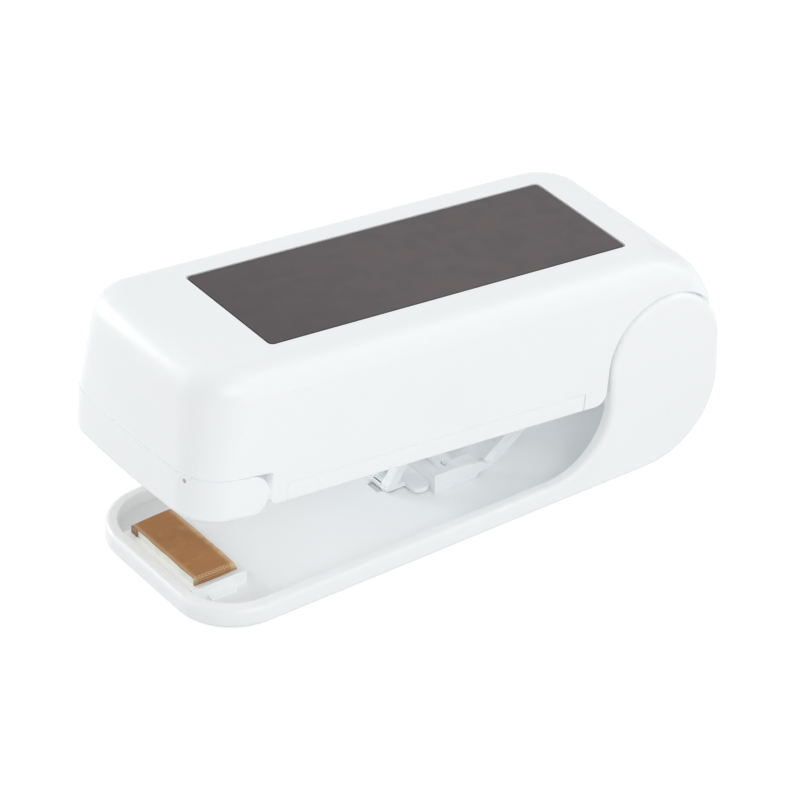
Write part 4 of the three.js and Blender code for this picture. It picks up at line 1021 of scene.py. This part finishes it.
class MakeHeater(bpy.types.Operator):
    """Make the heating ribbon and the coated cloth over it"""

    bl_idname = "sealer.make_heater"
    bl_label = "Heater"

    def execute(self, context):
        soft_copy("heater_ribbon", "hot_ribbon", 0.06 * MM, "heater_alloy", "head")
        self.film()
        return {"FINISHED"}

    def film(self):
        """Cloth under the head, that rises a little towards its long sides."""
        low, high = own_box("heater_tape", FROM_HEAD)
        film = start_box("hot_tape", low, high)
        cut_up(film, 11)
        middle = (low + high) / 2
        flat, curl = 0.55, 0.09 * MM
        for point in film.data.vertices:
            away = abs(point.co.x - middle.x) / (high.x - low.x) * 2
            rise = max(0.0, away - flat) / (1 - flat)
            point.co.z += curl * rise ** 2
        rounded(film, 0.05 * MM, 2, 50)
        smooth(film, 50)
        moved(film, FROM_HEAD)
        dress(film, "heater_cloth", "head", "heater_tape")


class MakePins(bpy.types.Operator):
    """Make the hinge pin, the head pins and the screws"""

    bl_idname = "sealer.make_pins"
    bl_label = "Pins and screws"

    def execute(self, context):
        sides, step, centre_step, edge = 40, 0.22, 0.3, 0.14
        for node, body, name in (
            ("hinge_pin", "base", "pin_hinge"),
            ("head_pin_near", "head", "pin_near"),
            ("head_pin_far", "head", "pin_far"),
        ):
            low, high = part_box(node)
            middle = (low + high) / 2
            radius = (high.z - low.z) / 2
            pin = start_rod(name, radius, (middle.x, low.y, middle.z), (middle.x, high.y, middle.z), sides)
            pick(pin, lambda centre, normal: abs(normal.y) > FACING)
            inset(radius * step, radius * centre_step)
            leave()
            rounded(pin, radius * edge, 3, 50)
            smooth(pin)
            dress(pin, "steel_drawn", body, node)
        for side in ("near", "far"):
            self.screw(side)
        return {"FINISHED"}

    def screw(self, side):
        """Pan-head screw with a crossed recess and a few turns of thread."""
        node = "tray_screw_" + side
        low, high = own_box(node)
        middle = (low + high) / 2
        head_radius = (high.x - low.x) / 2
        shank, head_height = 1.1 * MM, 1.4 * MM
        head_top = low.z + head_height
        screw = start_rod("screw_" + side, head_radius, (middle.x, middle.y, low.z), (middle.x, middle.y, head_top), 32)
        pick(screw, lambda centre, normal: normal.z > FACING)
        inset(head_radius - shank * 0.8)
        turns, crest, tip = 14, 1.22, 0.25
        rise = (high.z - head_top - shank) / turns
        for step in range(turns):
            grow = crest if step % 2 == 0 else 1 / crest
            push(z=rise)
            bpy.ops.transform.resize(
                value=(grow, grow, 1), center_override=(middle.x, middle.y, head_top + rise * (step + 1)),
            )
        push(z=shank * 0.98)
        bpy.ops.transform.resize(value=(tip, tip, 1), center_override=(middle.x, middle.y, high.z))
        pick(screw, lambda centre, normal: normal.z < -FACING)
        inset(head_radius * 0.25)
        leave()
        rounded(screw, 0.12 * MM, 2, 55)
        moved(screw)
        arm, slot, depth = 0.9 * MM, 0.18 * MM, 0.5 * MM
        for half_x, half_y in ((arm, slot), (slot, arm)):
            tool = start_box(
                "cross",
                (middle.x - half_x, middle.y - half_y, low.z - 0.3 * MM),
                (middle.x + half_x, middle.y + half_y, low.z + depth),
            )
            moved(tool)
            modifier(screw, "BOOLEAN", object=tool, operation="DIFFERENCE", solver="EXACT")
            bpy.data.objects.remove(tool)
        smooth(screw)
        dress(screw, "steel_drawn", "jaw", node)


class MakeContacts(bpy.types.Operator):
    """Make the contact plates, the press switch and the coil springs"""

    bl_idname = "sealer.make_contacts"
    bl_label = "Contacts and springs"

    def execute(self, context):
        sides = context.scene.sealer_metal.coil_sides
        self.plate("contact_plate_near", "plate_near")
        self.plate("contact_plate_far", "plate_far")
        self.plate("contact_bridge", "plate_bridge")
        edge = 0.08 * MM
        soft_copy("fixed_switch_contact", "switch_fixed", edge, "brass_plate", "jaw")
        soft_copy("moving_switch_contact", "switch_moving", edge, "brass_plate", "head")
        for side, radii in (("near", (2.8, 4.6)), ("far", (4.6, 2.8))):
            self.coil("head_spring_" + side, "press_spring_" + side, "z", 0.6 * MM, 4, (2.2, 2.2), sides)
            self.coil("contact_spring_" + side, "cell_spring_" + side, "x", 0.8 * MM, 3.5, radii, sides)
        return {"FINISHED"}

    def plate(self, node, name):
        """Flat plate with rounded corners."""
        low, high = own_box(node)
        plate = start_box(name, low, high)
        pick(plate, lambda centre, way: abs(way.x) > FACING, "EDGE")
        corner = 1.2 * MM
        bpy.ops.mesh.bevel(offset=corner, segments=6, affect="EDGES")
        leave()
        rounded(plate, 0.05 * MM, 2, 40)
        smooth(plate)
        moved(plate)
        dress(plate, "brass_plate", "jaw", node)

    def coil(self, node, name, axis, wire, turns, radii, sides):
        """Round wire wound along an axis: one circle, screwed up in short steps, capped and tapered."""
        low, high = own_box(node)
        index = "xyz".index(axis)
        middle = (low + high) / 2
        first, last = (radius * MM for radius in radii)
        rise = high[index] - low[index] - wire
        steps_a_turn = 20
        steps = int(turns * steps_a_turn)
        spring = fresh(
            bpy.ops.mesh.primitive_circle_add, name, vertices=sides, radius=wire / 2,
            location=(first, 0, 0), rotation=(math.pi / 2, 0, 0),
        )
        done(spring)
        modifier(
            spring, "SCREW", axis="Z", angle=2 * math.pi * turns, screw_offset=rise, steps=steps, render_steps=steps,
            use_merge_vertices=False,
        )
        edit(spring, action="SELECT")
        bpy.ops.mesh.fill_holes(sides=0)
        leave()
        for point in spring.data.vertices:
            share_up = max(0.0, min(1.0, point.co.z / rise))
            flat = Vector((point.co.x, point.co.y, 0))
            flat *= 1 + (last - first) * share_up / flat.length
            along = low[index] + wire / 2 + point.co.z
            if axis == "z":
                point.co = (middle.x + flat.x, middle.y + flat.y, along)
            else:
                point.co = (along, middle.y + flat.y, middle.z - flat.x)
        outward(spring)
        smooth(spring, 60)
        moved(spring)
        dress(spring, "steel_wire", "jaw", node)
        if axis == "z":
            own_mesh(spring)


class MakeCells(bpy.types.Operator):
    """Make the two AA cells with plain sleeves"""

    bl_idname = "sealer.make_cells"
    bl_label = "Cells"

    def execute(self, context):
        for side, nub_way in (("near", -1), ("far", 1)):
            self.cell(side, nub_way)
        return {"FINISHED"}

    def cell(self, side, nub_way):
        """Sleeved cell with bare ends and its nub towards one end of the jaw."""
        node = "cell_" + side
        low, high = own_box(node)
        middle = (low + high) / 2
        radius = (high.y - low.y) / 2
        nub, nub_radius, sleeve_end = 1.0 * MM, 2.75 * MM, 1.25 * MM
        back, front = (low.x, high.x - nub) if nub_way > 0 else (high.x, low.x + nub)
        cell = start_rod("cell_body_" + side, radius, (back, middle.y, middle.z), (front, middle.y, middle.z), 56)
        pick(cell, lambda centre, normal: normal.x * nub_way > FACING)
        rim, sink = 1.1 * MM, 0.25 * MM
        inset(rim)
        push(-nub_way * sink)
        inset(radius - rim - nub_radius)
        push(nub_way * (nub + sink))
        pick(cell, lambda centre, normal: normal.x * nub_way < -FACING and abs(centre.x - back) < 0.01 * MM)
        groove = nub_way * 0.2 * MM
        inset(1.0 * MM)
        push(groove)
        inset(0.6 * MM)
        push(-groove)
        leave()
        rounded(cell, 0.28 * MM, 3, 50)
        smooth(cell)
        moved(cell)
        dress(cell, "sleeve_plain", "jaw", node)
        bare = radius - sleeve_end
        tint(cell, "steel_drawn", lambda place, normal: (place.yz - middle.yz).length < bare)


class SealerPanel(bpy.types.Panel):
    bl_idname = "VIEW3D_PT_bag_sealer"
    bl_label = "Mini bag sealer"
    bl_space_type = "VIEW_3D"
    bl_region_type = "UI"
    bl_category = "Bag sealer"

    def draw(self, context):
        for group, title, item in GROUPS:
            box = self.layout.box()
            box.label(text=title)
            for name in item.__annotations__:
                box.prop(getattr(context.scene, group), name)
        for maker in MAKERS:
            self.layout.operator(maker.bl_idname)


GROUPS = (
    ("sealer_stage", "Stage", StageSizes),
    ("sealer_plastic", "White plastic", PlasticSizes),
    ("sealer_pad", "Pad and tape", PadSizes),
    ("sealer_magnet", "Magnet sheet", MagnetSizes),
    ("sealer_metal", "Metal and cells", MetalSizes),
)
MAKERS = (
    MakeStage, MakeShells, MakeMechanism, MakeMagnet, MakePad, MakeHeater, MakePins, MakeContacts, MakeCells,
)
CLASSES = (*(item for _, _, item in GROUPS), *MAKERS, SealerPanel)


def register():
    for item in CLASSES:
        bpy.utils.register_class(item)
    for group, _, item in GROUPS:
        setattr(bpy.types.Scene, group, PointerProperty(type=item))


def unregister():
    for group, _, _ in GROUPS:
        delattr(bpy.types.Scene, group)
    for item in reversed(CLASSES):
        bpy.utils.unregister_class(item)


def main():
    register()
    for maker in MAKERS:
        space, name = maker.bl_idname.split(".")
        getattr(getattr(bpy.ops, space), name)()


if __name__ == "__main__":
    main()
